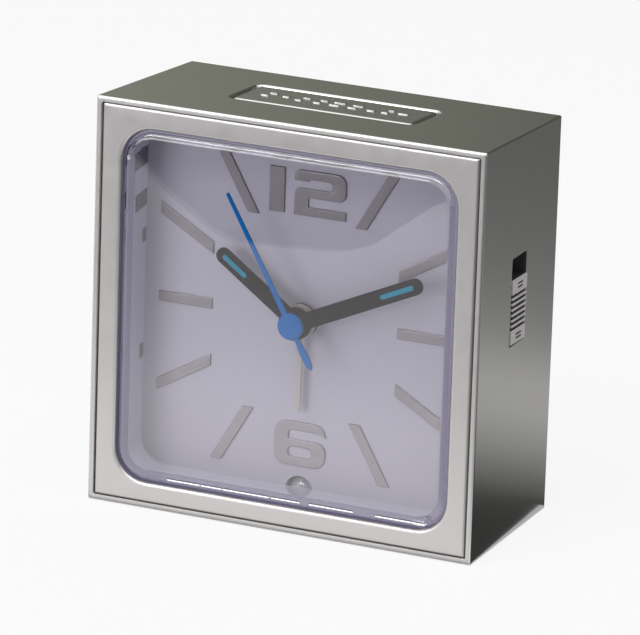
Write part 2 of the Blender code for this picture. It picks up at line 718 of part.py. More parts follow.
def moved(mesh, by):
    bmesh.ops.translate(mesh, verts=mesh.verts[:], vec=by)
    return mesh


def case_top(depth):
    return CASE_HEIGHT - TOP_FALL * depth / CASE_DEPTH


def case_side(depth):
    return CASE_WIDTH / 2 - SIDE_TAPER * depth / CASE_DEPTH


def polar(distance, bearing):
    return distance * math.sin(bearing), distance * math.cos(bearing)


def centre_distance(teeth, partner_teeth, module):
    return (teeth + partner_teeth) * module / 2


def gear(teeth, module, turn=0.0):
    """A toothed outline whose first tooth stands at the given clockwise turn."""
    pitch_radius = teeth * module / 2
    root = pitch_radius - DEDENDUM * module
    tip = pitch_radius + ADDENDUM * module
    corners = ((root, -TOOTH_ROOT / 2), (tip, -TOOTH_TIP / 2), (tip, TOOTH_TIP / 2), (root, TOOTH_ROOT / 2))
    pitch = TAU / teeth
    return [polar(radius, turn + (k + share) * pitch) for k in range(teeth) for radius, share in corners]


def meshing_turn(teeth, partner_teeth, partner_turn, bearing):
    """The turn that sets a gear's tooth space on its partner's tooth, bearing being partner to gear."""
    partner_step = (bearing - partner_turn) * partner_teeth / TAU
    return bearing + math.pi - (0.5 - partner_step) * TAU / teeth


def flat_layer(outline, plane, thick):
    return outline, plane - thick / 2, plane + thick / 2


# Places of the arbors, from the dial's middle
intermediate_distance = centre_distance(INTERMEDIATE_PINION, SECONDS_WHEEL, SECONDS_MODULE)
rotor_distance = centre_distance(ROTOR_PINION, INTERMEDIATE_WHEEL, ROTOR_MODULE)
third_distance = centre_distance(THIRD_PINION, MINUTE_WHEEL, MINUTE_MODULE)
third_module = 2 * third_distance / (SECONDS_PINION + THIRD_WHEEL)
works_distance = centre_distance(WORKS_PINION, HOUR_WHEEL, HOUR_MODULE)
works_module = 2 * works_distance / (CANNON_PINION + WORKS_WHEEL)
setting_distance = centre_distance(ALARM_PINION, ALARM_WHEEL, ALARM_MODULE)
time_to_works = centre_distance(TIME_PINION, WORKS_WHEEL, works_module)
works_cosine = works_distance**2 + setting_distance**2 - time_to_works**2
works_bearing = SETTING_BEARING + math.acos(works_cosine / (2 * works_distance * setting_distance))

THIRD_AT = polar(third_distance, THIRD_BEARING)
INTERMEDIATE_AT = polar(intermediate_distance, INTERMEDIATE_BEARING)
rotor_step = polar(rotor_distance, ROTOR_BEARING)
ROTOR_AT = (INTERMEDIATE_AT[0] + rotor_step[0], INTERMEDIATE_AT[1] + rotor_step[1])
WORKS_AT = polar(works_distance, works_bearing)
TIME_AT = polar(setting_distance, SETTING_BEARING)
ALARM_AT = polar(setting_distance, -SETTING_BEARING)
works_to_time = math.atan2(TIME_AT[0] - WORKS_AT[0], TIME_AT[1] - WORKS_AT[1])

# Clockwise turns of the hands at the time shown
minute_turn = math.radians(6 * (MINUTE_SHOWN + SECOND_SHOWN / 60))
hour_turn = math.radians(30 * HOUR_SHOWN) + minute_turn / 12
second_turn = math.radians(6 * SECOND_SHOWN)
alarm_turn = math.radians(30 * ALARM_HOUR)


def at_axis(place, depth=0.0):
    """A point of the front frame from a place about the dial's middle."""
    return place[0], depth, DIAL_MIDDLE + place[1]


def build_case():
    def outer(depth, by):
        side = case_side(depth) - by
        return rounded(-side, side, by, case_top(depth) - by, CASE_EDGE)

    def rebate(by):
        side = REBATE_HALF_WIDTH + by
        return rounded(-side, side, RIM_WALL - by, CASE_HEIGHT - RIM_WALL + by, CASE_EDGE)

    cavity = rounded(-CAVITY_HALF_WIDTH, CAVITY_HALF_WIDTH, CASE_FLOOR, CAVITY_TOP, CASE_EDGE)
    ledge = BEZEL_THICK + GAP
    soft = CASE_EDGE / 2
    rings = [
        (outer(0.0, CASE_EDGE), 0.0),
        (outer(0.0, soft / 2), soft / 2),
        (outer(CASE_EDGE, 0.0), CASE_EDGE),
        (outer(CASE_DEPTH - CASE_EDGE, 0.0), CASE_DEPTH - CASE_EDGE),
        (outer(CASE_DEPTH, soft), CASE_DEPTH),
        (cavity, CASE_DEPTH),
        (cavity, ledge),
        (rebate(0.0), ledge),
        (rebate(0.0), soft),
        (rebate(soft), 0.0),
    ]
    case = add_piece("case_shell", swept(rings, closed=True), "case_metal")
    opening = rounded(
        -SNOOZE_HALF_WIDTH - SNOOZE_GAP,
        SNOOZE_HALF_WIDTH + SNOOZE_GAP,
        SNOOZE_FRONT - SNOOZE_GAP,
        SNOOZE_BACK + SNOOZE_GAP,
        SNOOZE_RADIUS + SNOOZE_GAP,
    )
    cut(case, stacked([(opening, CAVITY_TOP - CASE_WALL, CASE_HEIGHT + CASE_WALL)], axis="Z"))
    slot = rounded(SLOT_FRONT, SLOT_BACK, SLOT_BOTTOM, SLOT_TOP, CASE_EDGE)
    cut(case, stacked([(slot, CAVITY_HALF_WIDTH - CASE_WALL, CASE_WIDTH / 2 + CASE_WALL)], axis="X"))


def build_bezel():
    middle = (BEZEL_BOTTOM + BEZEL_TOP) / 2
    half_height = (BEZEL_TOP - BEZEL_BOTTOM) / 2

    def outer(by):
        return grown(BEZEL_HALF_WIDTH, half_height, middle, BEZEL_EDGE, by)

    def window(by):
        return grown(WINDOW_WIDTH / 2, WINDOW_HEIGHT / 2, WINDOW_MIDDLE, WINDOW_RADIUS, by)

    rings = [(outer(0.0), BEZEL_THICK), (outer(0.0), BEZEL_EDGE)]
    rings += [(outer(BEZEL_SHARP - BEZEL_EDGE), 0.0)]
    for angle in (0, 30, 60, 90):
        lean = math.radians(angle)
        rings.append((window(WINDOW_LIP * (1 - math.sin(lean))), WINDOW_LIP * (1 - math.cos(lean))))
    rings.append((window(0.0), BEZEL_THICK))
    bezel = add_piece("front_bezel", swept(rings, closed=True), "bezel_metal")
    post_end = COVER_FRONT - GAP
    pilot = CASE_SCREW_RADIUS + RUNNING_GAP
    pilot_start = COVER_BACK - SCREW_HEAD_THICK - CASE_SCREW_LENGTH - GAP
    rooted = BEZEL_THICK / 2
    for x, z in CASE_POSTS:
        profile = [
            (0.0, rooted),
            (CASE_POST_RADIUS, rooted),
            (CASE_POST_RADIUS, post_end),
            (pilot, post_end),
            (pilot, pilot_start),
            (0.0, pilot_start),
        ]
        join(bezel, moved(turned(profile, 12), (x, 0.0, z)))


def build_lens():
    def box(by):
        return grown(LENS_HALF_WIDTH, LENS_HALF_HEIGHT, WINDOW_MIDDLE, WINDOW_RADIUS - LENS_GAP, by)

    rings = []
    for angle in (0, 30, 60, 90):
        lean = math.radians(angle)
        rings.append((box(-LENS_EDGE * (1 - math.sin(lean))), LENS_FRONT + LENS_EDGE * (1 - math.cos(lean))))
    inside = LENS_FRONT + LENS_PLATE
    rings += [(box(0.0), LENS_BACK), (box(-LENS_WALL), LENS_BACK), (box(-LENS_WALL), inside)]
    lens = add_piece("lens", swept(rings, closed=False), "clear")
    tab = (BEZEL_THICK + GAP, BEZEL_THICK + GAP + LENS_TAB_THICK)
    half = LENS_TAB_LENGTH / 2
    rooted = LENS_WALL / 2
    for side in (-1, 1):
        across = sorted((side * (LENS_HALF_WIDTH - rooted), side * (LENS_HALF_WIDTH + LENS_TAB)))
        join(lens, block(across, tab, (WINDOW_MIDDLE - half, WINDOW_MIDDLE + half)))
        up = sorted((side * (LENS_HALF_HEIGHT - rooted), side * (LENS_HALF_HEIGHT + LENS_TAB)))
        join(lens, block((-half, half), tab, [WINDOW_MIDDLE + z for z in up]))


def dial_outline():
    """The dial's edge, with an arch at the bottom that shows the lamp."""
    half_width = LENS_HALF_WIDTH - DIAL_INSET
    half_height = LENS_HALF_HEIGHT - DIAL_INSET
    edge = grown(half_width, half_height, WINDOW_MIDDLE, WINDOW_RADIUS - LENS_GAP - DIAL_INSET, 0.0, 3)
    arch = LAMP_RADIUS + RUNNING_GAP
    bottom = WINDOW_MIDDLE - half_height
    middle = LAMP_TOP + GAP - arch
    reach = math.degrees(math.acos((bottom - middle) / arch))
    notch = arc((0.0, middle), arch, reach, -reach, 8)
    return edge[:8] + notch + edge[8:]


def hour_bar(hour):
    """A bar on an hour's ray, its ends cut along the inner and outer squares."""
    bearing = math.radians(30 * hour)
    across = math.sin(bearing)
    up = math.cos(bearing)
    reach = max(abs(across), abs(up))
    near = (across * BAR_INNER / reach, up * BAR_INNER / reach)
    far = (across * BAR_OUTER / reach, up * BAR_OUTER / reach)
    half = BAR_WIDTH / 2 / reach
    dx, dz = (0.0, half) if abs(across) > abs(up) else (half, 0.0)
    corners = ((near, -1), (far, -1), (far, 1), (near, 1))
    return [(point[0] + side * dx, point[1] + side * dz) for point, side in corners]


def numeral_two(left, bottom):
    """A square-shouldered 2, clockwise from its foot."""
    w = NUMERAL_WIDTH
    h = NUMERAL_HEIGHT
    stem = NUMERAL_STEM
    bar = NUMERAL_BAR
    waist = (h + bar) / 2
    round_out = bar * 1.1
    round_in = bar * 0.4
    points = [(0, 0), *arc((round_out * 0.7, waist - round_out * 0.7), round_out * 0.7, 270, 360)]
    points += arc((w - stem - round_in, waist + round_in), round_in, 180, 90)
    points += arc((w - stem - round_in, h - bar - round_in), round_in, 90, 0)
    points += [(stem, h - bar), (stem, h - bar * 1.25), (0, h - bar * 1.25)]
    points += arc((round_out * 0.7, h - round_out * 0.7), round_out * 0.7, 270, 360)
    points += arc((w - round_out, h - round_out), round_out, 0, 90)
    points += arc((w - round_out * 0.8, waist - bar + round_out * 0.8), round_out * 0.8, 90, 180)
    points += [(stem, waist - bar), (stem, bar), (w, bar), (w, 0)]
    return [(left + x, bottom + z) for x, z in points]


def numeral_six(left, bottom):
    """A square-shouldered 6: its outline and the hole in its bowl."""
    w = NUMERAL_WIDTH
    h = NUMERAL_HEIGHT
    stem = NUMERAL_STEM
    bar = NUMERAL_BAR
    waist_low = bar + SIX_BOWL
    waist_high = waist_low + SIX_WAIST
    round_out = bar * 1.4
    round_in = bar * 0.4
    points = [*arc((round_out, h - round_out), round_out, 270, 360)]
    points += arc((w - round_out, h - round_out), round_out, 0, 80)
    points += [(w, h - bar * 1.4), (w - stem * 0.45, h - bar)]
    points += arc((stem + round_in, h - bar - round_in), round_in, 0, -90)
    points += [(stem, waist_high), (w - round_out * 0.8, waist_high)]
    points += arc((w - round_out * 0.8, waist_high - round_out * 0.8), round_out * 0.8, 15, 90)
    points += arc((w - round_out, round_out), round_out, 90, 180)
    points += arc((round_out, round_out), round_out, 180, 270)
    hole = rounded(stem, w - stem, bar, waist_low, round_in * 1.2)
    return [(left + x, bottom + z) for x, z in points], [(left + x, bottom + z) for x, z in hole]


def build_dial():
    """The dial, with its bars and numerals raised on the face."""
    edge = [(x, z - DIAL_MIDDLE) for x, z in dial_outline()]
    plate = stacked([(edge, 0.0, DIAL_THICK)], holes=[circle(DIAL_HOLE, 24)])
    dial = add_piece("dial_plate", plate, "dial_card", at=(0.0, DIAL_DEPTH, DIAL_MIDDLE))
    rooted = DIAL_THICK / 2
    raised = [stacked([(hour_bar(hour), -MARKER_HEIGHT, rooted)]) for hour in range(1, 12) if hour != 6]
    left = -(ONE_WIDTH + NUMERAL_SPACE + NUMERAL_WIDTH) / 2
    one = rectangle(left, left + ONE_WIDTH, TWELVE_BOTTOM, TWELVE_BOTTOM + NUMERAL_HEIGHT)
    two = numeral_two(left + ONE_WIDTH + NUMERAL_SPACE, TWELVE_BOTTOM)
    six, bowl = numeral_six(-NUMERAL_WIDTH / 2, -SIX_TOP - NUMERAL_HEIGHT)
    raised += [stacked([(digit, -MARKER_HEIGHT, rooted)]) for digit in (one, two)]
    raised.append(stacked([(six, -MARKER_HEIGHT, rooted)], holes=[bowl]))
    join(dial, merged(raised))


def build_lamp():
    """A round light-emitting diode on end, its dome showing in the dial's arch."""
    dome = LAMP_TOP - LAMP_RADIUS
    flange = LAMP_RADIUS + LAMP_FLANGE
    flange_top = LAMP_SEAT + LAMP_FLANGE_THICK
    profile = [(0.0, LAMP_SEAT), (flange, LAMP_SEAT), (flange, flange_top), (LAMP_RADIUS, flange_top)]
    for angle in (90, 68, 45, 22):
        lean = math.radians(angle)
        profile.append((LAMP_RADIUS * math.sin(lean), dome + LAMP_RADIUS * math.cos(lean)))
    profile.append((0.0, LAMP_TOP))
    add_piece("dial_lamp", turned(profile, 18, axis="Z"), "clear", at=(0.0, LAMP_DEPTH, 0.0))


def build_carrier():
    """The plate behind the dial that holds the movement, lamp, board, switch and snooze springs."""
    edge = CAVITY_HALF_WIDTH - GAP
    bottom = CASE_FLOOR + GAP
    top = CAVITY_TOP - GAP
    window_half = MOVEMENT_HALF_WIDTH + GAP
    window = rectangle(-window_half, window_half, MOVEMENT_BOTTOM - GAP, MOVEMENT_TOP + GAP)
    posts = [circle(CASE_POST_RADIUS + GAP / 2, 12, place) for place in CASE_POSTS]
    screws = [circle(MOVEMENT_SCREW_RADIUS + RUNNING_GAP, 8, place) for place in movement_screw_places()]
    lamp_half = LAMP_RADIUS + LAMP_FLANGE + GAP
    outline = [(-edge, bottom), (-lamp_half, bottom), (-lamp_half, LAMP_TOP + 2 * GAP)]
    outline += [(lamp_half, LAMP_TOP + 2 * GAP), (lamp_half, bottom), (edge, bottom), (edge, top)]
    notch_half = SNOOZE_HALF_WIDTH + SNOOZE_LAP + GAP
    notch_low = SNOOZE_FLANGE_BOTTOM - SNOOZE_TRAVEL - GAP
    outline += [(notch_half, top), (notch_half, notch_low), (-notch_half, notch_low), (-notch_half, top)]
    outline.append((-edge, top))
    back = PLATE_FRONT + CARRIER_THICK
    plate = stacked([(outline, PLATE_FRONT, back)], holes=[window, *posts, *screws])
    carrier = add_piece("movement_carrier", plate, "white_plastic")
    rooted = back - CARRIER_THICK / 2
    for side in (-1, 1):
        shelf = sorted((side * SHELF_OFFSET, side * (SHELF_OFFSET + SHELF_WIDTH)))
        shelf_top = BOARD_TOP - BOARD_THICK - GAP
        join(carrier, block(shelf, (rooted, back + SHELF_LENGTH), (shelf_top - CARRIER_ARM, shelf_top)))
        x = side * SNOOZE_SPRING_OFFSET
        arm = (x - SPRING_ARM_WIDTH / 2, x + SPRING_ARM_WIDTH / 2)
        arm_end = SNOOZE_MIDDLE + SPRING_ARM_WIDTH / 2
        join(carrier, block(arm, (rooted, arm_end), (SPRING_ARM_TOP - CARRIER_ARM, SPRING_ARM_TOP)))
    seat_half = LAMP_RADIUS + LAMP_FLANGE + 2 * CARRIER_THICK
    seat_back = LAMP_DEPTH + LAMP_RADIUS + 2 * LAMP_FLANGE
    join(carrier, block((-seat_half, seat_half), (PLATE_FRONT, seat_back), (bottom, LAMP_SEAT - GAP)))
    bracket_x = SWITCH_LEFT - GAP
    bracket = (bracket_x - CARRIER_ARM, bracket_x)
    middle = (SLOT_BOTTOM + SLOT_TOP) / 2
    half = SWITCH_HEIGHT / 2
    join(carrier, block(bracket, (rooted, SLOT_BACK), (middle - half, middle + half)))


def movement_screw_places():
    low = MOVEMENT_BOTTOM - EAR_LENGTH / 2
    high = MOVEMENT_TOP + EAR_LENGTH / 2
    return [(x, z) for x in (-EAR_OFFSET, EAR_OFFSET) for z in (low, high)]


def movement_outline(by=0.0):
    half = MOVEMENT_HALF_WIDTH - by
    return rectangle(-half, half, MOVEMENT_BOTTOM + by, MOVEMENT_TOP - by)


def pillar_places():
    inset = MOVEMENT_WALL + PILLAR_RADIUS + GAP
    x = MOVEMENT_HALF_WIDTH - inset
    return [(side * x, z) for side in (-1, 1) for z in (MOVEMENT_BOTTOM + inset, MOVEMENT_TOP - inset)]


def build_movement_case():
    """Front and rear shells with the bridge between them; all bearings are holes in these three."""
    seam = BRIDGE_BACK + GAP
    centre = (0.0, DIAL_MIDDLE)
    outer = movement_outline()
    inner = movement_outline(MOVEMENT_WALL)
    front_shell = tray(outer, inner, PLATE_FRONT, PLATE_BACK, seam)
    shell = add_piece("movement_front_shell", front_shell, "grey_plastic")
    rooted = PLATE_BACK - PLATE_THICK / 2
    nose_front = DIAL_DEPTH - MARKER_HEIGHT
    join(shell, stacked([(circle(NOSE_RADIUS, centre=centre), nose_front, rooted)]))
    cut(shell, stacked([(circle(NOSE_BORE, centre=centre), nose_front - GAP, PLATE_BACK + GAP)]))
    ear_front = PLATE_FRONT + CARRIER_THICK + GAP
    ear_root = MOVEMENT_WALL / 2
    for x, z in movement_screw_places():
        low = MOVEMENT_TOP - ear_root
        high = MOVEMENT_TOP + EAR_LENGTH
        if z < DIAL_MIDDLE:
            low = MOVEMENT_BOTTOM - EAR_LENGTH
            high = MOVEMENT_BOTTOM + ear_root
        hole = circle(MOVEMENT_SCREW_RADIUS + RUNNING_GAP, 8, (x, z))
        ear = rectangle(x - EAR_WIDTH / 2, x + EAR_WIDTH / 2, low, high)
        join(shell, stacked([(ear, ear_front, ear_front + EAR_THICK)], holes=[hole]))
    for x, z in pillar_places():
        join(shell, stacked([(circle(PILLAR_RADIUS, 10, (x, z)), rooted, BRIDGE_FRONT - GAP)]))
    post = circle(POST_RADIUS, 12, (WORKS_AT[0], DIAL_MIDDLE + WORKS_AT[1]))
    join(shell, stacked([(post, rooted, BRIDGE_FRONT - GAP)]))

    pivot = ARBOR_RADIUS + RUNNING_GAP
    stem = STEM_RADIUS + RUNNING_GAP
    pivots = [circle(pivot, 12, (x, DIAL_MIDDLE + z)) for x, z in (THIRD_AT, INTERMEDIATE_AT, ROTOR_AT)]
    stems = [circle(stem, 12, (x, DIAL_MIDDLE + z)) for x, z in (TIME_AT, ALARM_AT)]
    holes = pivots + stems
    bridge_outline = movement_outline(MOVEMENT_WALL + GAP)
    centre_hole = circle(MINUTE_TUBE + RUNNING_GAP, 16, centre)
    bridge = stacked([(bridge_outline, BRIDGE_FRONT, BRIDGE_BACK)], holes=holes + [centre_hole])
    add_piece("movement_bridge", bridge, "grey_plastic")
    seconds_hole = circle(SECONDS_SHAFT + RUNNING_GAP, 12, centre)
    rear = tray(outer, inner, BACK_PLATE_BACK, BACK_PLATE_FRONT, seam + GAP, holes=holes + [seconds_hole])
    add_piece("movement_rear_shell", rear, "grey_plastic")


def build_wheels():
    """Every wheel of the train, in mesh at rest. Arbors run from the bridge into the rear shell."""
    front_pivot = BRIDGE_FRONT + GAP
    back_pivot = BACK_PLATE_BACK - GAP
    arbor = circle(ARBOR_RADIUS, 12)

    def arbor_to(depth):
        return (arbor, front_pivot, depth)

    intermediate_turn = meshing_turn(INTERMEDIATE_PINION, SECONDS_WHEEL, 0.0, INTERMEDIATE_BEARING)
    rotor_turn = meshing_turn(ROTOR_PINION, INTERMEDIATE_WHEEL, intermediate_turn, ROTOR_BEARING)
    third_turn = meshing_turn(THIRD_WHEEL, SECONDS_PINION, 0.0, THIRD_BEARING)
    minute_turn_of_wheel = meshing_turn(MINUTE_WHEEL, THIRD_PINION, third_turn, THIRD_BEARING + math.pi)
    works_turn = meshing_turn(WORKS_WHEEL, CANNON_PINION, minute_turn_of_wheel, works_bearing)
    hour_wheel_turn = meshing_turn(HOUR_WHEEL, WORKS_PINION, works_turn, works_bearing + math.pi)
    time_turn = meshing_turn(TIME_PINION, WORKS_WHEEL, works_turn, works_to_time)
    alarm_pinion_turn = meshing_turn(ALARM_PINION, ALARM_WHEEL, 0.0, -SETTING_BEARING)

    rotor_pinion = flat_layer(gear(ROTOR_PINION, ROTOR_MODULE), ROTOR_PLANE, PINION_THICK)
    magnet_front = STATOR_PLANE - MAGNET_LENGTH / 2
    magnet_back = STATOR_PLANE + MAGNET_LENGTH / 2
    hub = circle(MAGNET_RADIUS - MAGNET_WALL, 16)
    levels = [
        arbor_to(magnet_front),
        (hub, magnet_front, magnet_back + MAGNET_WALL),
        (arbor, magnet_back + MAGNET_WALL, rotor_pinion[1]),
        rotor_pinion,
        (arbor, rotor_pinion[2], back_pivot),
    ]
    add_piece("rotor_pinion", stacked(levels), "white_plastic", at=at_axis(ROTOR_AT), turn=rotor_turn)
    bore = MAGNET_RADIUS - MAGNET_WALL + RUNNING_GAP / 3
    sleeve = stacked([(circle(MAGNET_RADIUS), magnet_front, magnet_back)], holes=[circle(bore)])
    add_piece("rotor_magnet", sleeve, "magnet", at=at_axis(ROTOR_AT))

    pinion = flat_layer(gear(INTERMEDIATE_PINION, SECONDS_MODULE), SECONDS_PLANE, PINION_THICK)
    wheel = flat_layer(gear(INTERMEDIATE_WHEEL, ROTOR_MODULE), ROTOR_PLANE, WHEEL_THICK)
    levels = [arbor_to(pinion[1]), pinion, (arbor, pinion[2], wheel[1]), wheel, (arbor, wheel[2], back_pivot)]
    place = at_axis(INTERMEDIATE_AT)
    add_piece("intermediate_wheel", stacked(levels), "white_plastic", at=place, turn=intermediate_turn)

    pinion = flat_layer(gear(SECONDS_PINION, third_module), THIRD_PLANE, PINION_THICK)
    wheel = flat_layer(gear(SECONDS_WHEEL, SECONDS_MODULE), SECONDS_PLANE, WHEEL_THICK)
    shaft = circle(SECONDS_SHAFT, 12)
    tip = SECOND_HAND_DEPTH + GAP
    levels = [(shaft, tip, pinion[1]), pinion, (shaft, pinion[2], wheel[1]), wheel]
    levels.append((shaft, wheel[2], back_pivot))
    add_piece("seconds_wheel", stacked(levels), "white_plastic", at=at_axis((0.0, 0.0)))

    pinion = flat_layer(gear(THIRD_PINION, MINUTE_MODULE), MINUTE_PLANE, PINION_THICK)
    wheel = flat_layer(gear(THIRD_WHEEL, third_module), THIRD_PLANE, WHEEL_THICK)
    levels = [arbor_to(pinion[1]), pinion, (arbor, pinion[2], wheel[1]), wheel, (arbor, wheel[2], back_pivot)]
    add_piece("third_wheel", stacked(levels), "white_plastic", at=at_axis(THIRD_AT), turn=third_turn)

    pinion = flat_layer(gear(CANNON_PINION, works_module), CANNON_PLANE, PINION_THICK)
    wheel = flat_layer(gear(MINUTE_WHEEL, MINUTE_MODULE), MINUTE_PLANE, WHEEL_THICK)
    tube = circle(MINUTE_TUBE, 16)
    tip = MINUTE_HAND_DEPTH - HAND_THICK / 2
    levels = [(tube, tip, pinion[1]), pinion, (tube, pinion[2], wheel[1]), wheel]
    minute = stacked(levels, holes=[circle(MINUTE_BORE, 16)])
    add_piece("minute_wheel", minute, "white_plastic", at=at_axis((0.0, 0.0)), turn=minute_turn_of_wheel)

    pinion = flat_layer(gear(WORKS_PINION, HOUR_MODULE), HOUR_PLANE, PINION_THICK)
    wheel = flat_layer(gear(WORKS_WHEEL, works_module), CANNON_PLANE, WHEEL_THICK)
    hub = circle(POST_RADIUS + RUNNING_GAP + WORKS_HUB_WALL, 16)
    levels = [pinion, (hub, pinion[2], wheel[1]), wheel]
    works = stacked(levels, holes=[circle(POST_RADIUS + RUNNING_GAP, 12)])
    add_piece("works_wheel", works, "white_plastic", at=at_axis(WORKS_AT), turn=works_turn)

    wheel = flat_layer(gear(HOUR_WHEEL, HOUR_MODULE), HOUR_PLANE, WHEEL_THICK)
    tip = HOUR_HAND_DEPTH - HAND_THICK / 2
    levels = [(circle(HOUR_TUBE), tip, wheel[1]), wheel]
    hour = stacked(levels, holes=[circle(HOUR_BORE)])
    add_piece("hour_wheel", hour, "white_plastic", at=at_axis((0.0, 0.0)), turn=hour_wheel_turn)

    wheel = flat_layer(gear(ALARM_WHEEL, ALARM_MODULE), ALARM_PLANE, WHEEL_THICK)
    tip = ALARM_HAND_DEPTH - HAND_THICK / 2
    levels = [(circle(ALARM_TUBE), tip, wheel[1]), wheel]
    alarm = stacked(levels, holes=[circle(ALARM_BORE)])
    add_piece("alarm_wheel", alarm, "white_plastic", at=at_axis((0.0, 0.0)))

    stem = circle(STEM_RADIUS, 12)
    stem_end = CUP_FACE + GAP + KNOB_THICK
    gear_front = PLATE_BACK + GAP
    pinion = flat_layer(gear(TIME_PINION, works_module), CANNON_PLANE, PINION_THICK)
    levels = [(stem, gear_front, pinion[1]), pinion, (stem, pinion[2], stem_end)]
    add_piece("time_set_gear", stacked(levels), "white_plastic", at=at_axis(TIME_AT), turn=time_turn)
    pinion = flat_layer(gear(ALARM_PINION, ALARM_MODULE), ALARM_PLANE, PINION_THICK)
    levels = [pinion, (stem, pinion[2], stem_end)]
    place = at_axis(ALARM_AT)
    add_piece("alarm_set_gear", stacked(levels), "white_plastic", at=place, turn=alarm_pinion_turn)


def build_motor():
    """The stator round the rotor, with a coil beside it on a core that bridges the stator's feet."""
    rotor_x = ROTOR_AT[0]
    rotor_z = DIAL_MIDDLE + ROTOR_AT[1]
    coil_x = rotor_x + COIL_OFFSET
    low = MOVEMENT_BOTTOM + MOVEMENT_WALL + GAP
    high = 2 * rotor_z - low
    left = rotor_x - STATOR_WIDTH / 2
    right = rotor_x + STATOR_WIDTH / 2
    foot = coil_x + CORE_WIDTH / 2
    high_foot = high - STATOR_FOOT
    low_foot = low + STATOR_FOOT
    outline = [(left, low), (foot, low), (foot, low_foot), (right, low_foot)]
    outline += [(right, high_foot), (foot, high_foot), (foot, high), (left, high)]
    hole = circle(STATOR_HOLE, 20, (rotor_x, rotor_z))
    stator_back = STATOR_PLANE + STATOR_THICK / 2
    stator = stacked([(outline, STATOR_PLANE - STATOR_THICK / 2, stator_back)], holes=[hole])
    add_piece("stator", stator, "steel")
    core_front = stator_back + GAP
    core_x = (coil_x - CORE_WIDTH / 2, coil_x + CORE_WIDTH / 2)
    core_depth = (core_front, core_front + CORE_THICK)
    add_piece("coil_core", block(core_x, core_depth, (low, high)), "steel")
    bore = math.hypot(CORE_WIDTH, CORE_THICK) / 2 + RUNNING_GAP
    start = low_foot + GAP
    end = high_foot - GAP
    profile = [
        (bore, start),
        (COIL_RADIUS, start),
        (COIL_RADIUS, start + COIL_FLANGE),
        (WINDING_RADIUS, start + COIL_FLANGE),
        (WINDING_RADIUS, end - COIL_FLANGE),
        (COIL_RADIUS, end - COIL_FLANGE),
        (COIL_RADIUS, end),
        (bore, end),
    ]
    coil_depth = core_front + CORE_THICK / 2
    add_piece("drive_coil", turned(profile, axis="Z"), "copper", at=(coil_x, coil_depth, 0.0))
    leaf_x = -MOVEMENT_HALF_WIDTH + MOVEMENT_WALL + LEAF_WIDTH + 2 * PILLAR_RADIUS
    leaf_top = MOVEMENT_TOP - MOVEMENT_WALL - 2 * GAP
    leaf_depth = (BRIDGE_FRONT - GAP - LEAF_THICK, BRIDGE_FRONT - GAP)
    leaf = block((leaf_x, leaf_x + LEAF_WIDTH), leaf_depth, (leaf_top - LEAF_LENGTH, leaf_top))
    add_piece("alarm_contact", leaf, "copper")


def hand_outline(length, width, disc, tip_width, tail=0.0, tail_width=0.0):
    """A hand pointing up: a blade with a round tip from a disc, and a tail if it has one."""
    tip = tip_width / 2
    start = math.degrees(math.asin(width / 2 / disc))
    if not tail:
        return arc((0.0, 0.0), disc, start, 360 - start, 20) + arc((0.0, length - tip), tip, -90, 90, 6)
    tail_start = math.degrees(math.asin(tail_width / 2 / disc))
    points = arc((0.0, 0.0), disc, start, 180 - tail_start, 8)
    points += arc((0.0, tail_width / 2 - tail), tail_width / 2, 90, 270, 6)
    points += arc((0.0, 0.0), disc, 180 + tail_start, 360 - start, 8)
    return points + arc((0.0, length - tip), tip, -90, 90, 6)


def build_hands():
    half = HAND_THICK / 2
    centre = at_axis((0.0, 0.0))

    def tube_hand(name, length, width, depth, tube, look, turn):
        """A hand on its tube: the blade with its disc, and a hub behind it."""
        outline = hand_outline(length, width, HAND_DISC_RADIUS, width)
        back = depth + half
        levels = [(outline, depth - half, back), (circle(HAND_HUB_RADIUS, 20), back, back + HAND_HUB_DEPTH)]
        hand = stacked(levels, holes=[circle(tube + RUNNING_GAP / 2)])
        add_piece(name, hand, look, at=centre, turn=turn)

    def lume(name, hand_length, strip_length, depth, turn):
        end = hand_length - LUME_INSET
        strip = rounded(-LUME_WIDTH / 2, LUME_WIDTH / 2, end - strip_length, end, LUME_ROUND)
        face = depth - half - LUME_GAP
        add_piece(name, stacked([(strip, face - LUME_THICK, face)]), "lume_teal", at=centre, turn=turn)

    width = BROAD_HAND_WIDTH
    depth = MINUTE_HAND_DEPTH
    tube_hand("minute_hand", MINUTE_HAND_LENGTH, width, depth, MINUTE_TUBE, "hand_black", minute_turn)
    depth = HOUR_HAND_DEPTH
    tube_hand("hour_hand", HOUR_HAND_LENGTH, width, depth, HOUR_TUBE, "hand_black", hour_turn)
    width = ALARM_HAND_WIDTH
    depth = ALARM_HAND_DEPTH
    tube_hand("alarm_hand", ALARM_HAND_LENGTH, width, depth, ALARM_TUBE, "hand_sand", alarm_turn)
    lume("minute_lume", MINUTE_HAND_LENGTH, MINUTE_LUME_LENGTH, MINUTE_HAND_DEPTH, minute_turn)
    lume("hour_lume", HOUR_HAND_LENGTH, HOUR_LUME_LENGTH, HOUR_HAND_DEPTH, hour_turn)

    depth = SECOND_HAND_DEPTH
    cap = circle(SECOND_CAP_RADIUS, 24)
    outline = hand_outline(
        SECOND_HAND_LENGTH,
        SECOND_HAND_WIDTH,
        SECOND_CAP_RADIUS + SECOND_CAP_LIP,
        SECOND_TIP_WIDTH,
        SECOND_TAIL_LENGTH,
        SECOND_TAIL_WIDTH,
    )
    levels = [
        (cap, depth - SECOND_CAP_FRONT, depth - half),
        (outline, depth - half, depth + half),
        (cap, depth + half, depth + SECOND_CAP_BACK),
    ]
    second = add_piece("second_hand", stacked(levels), "hand_blue", at=centre, turn=second_turn)
    bore = circle(SECONDS_SHAFT + RUNNING_GAP, 12)
    cut(second, stacked([(bore, depth, depth + 2 * SECOND_CAP_BACK)]))


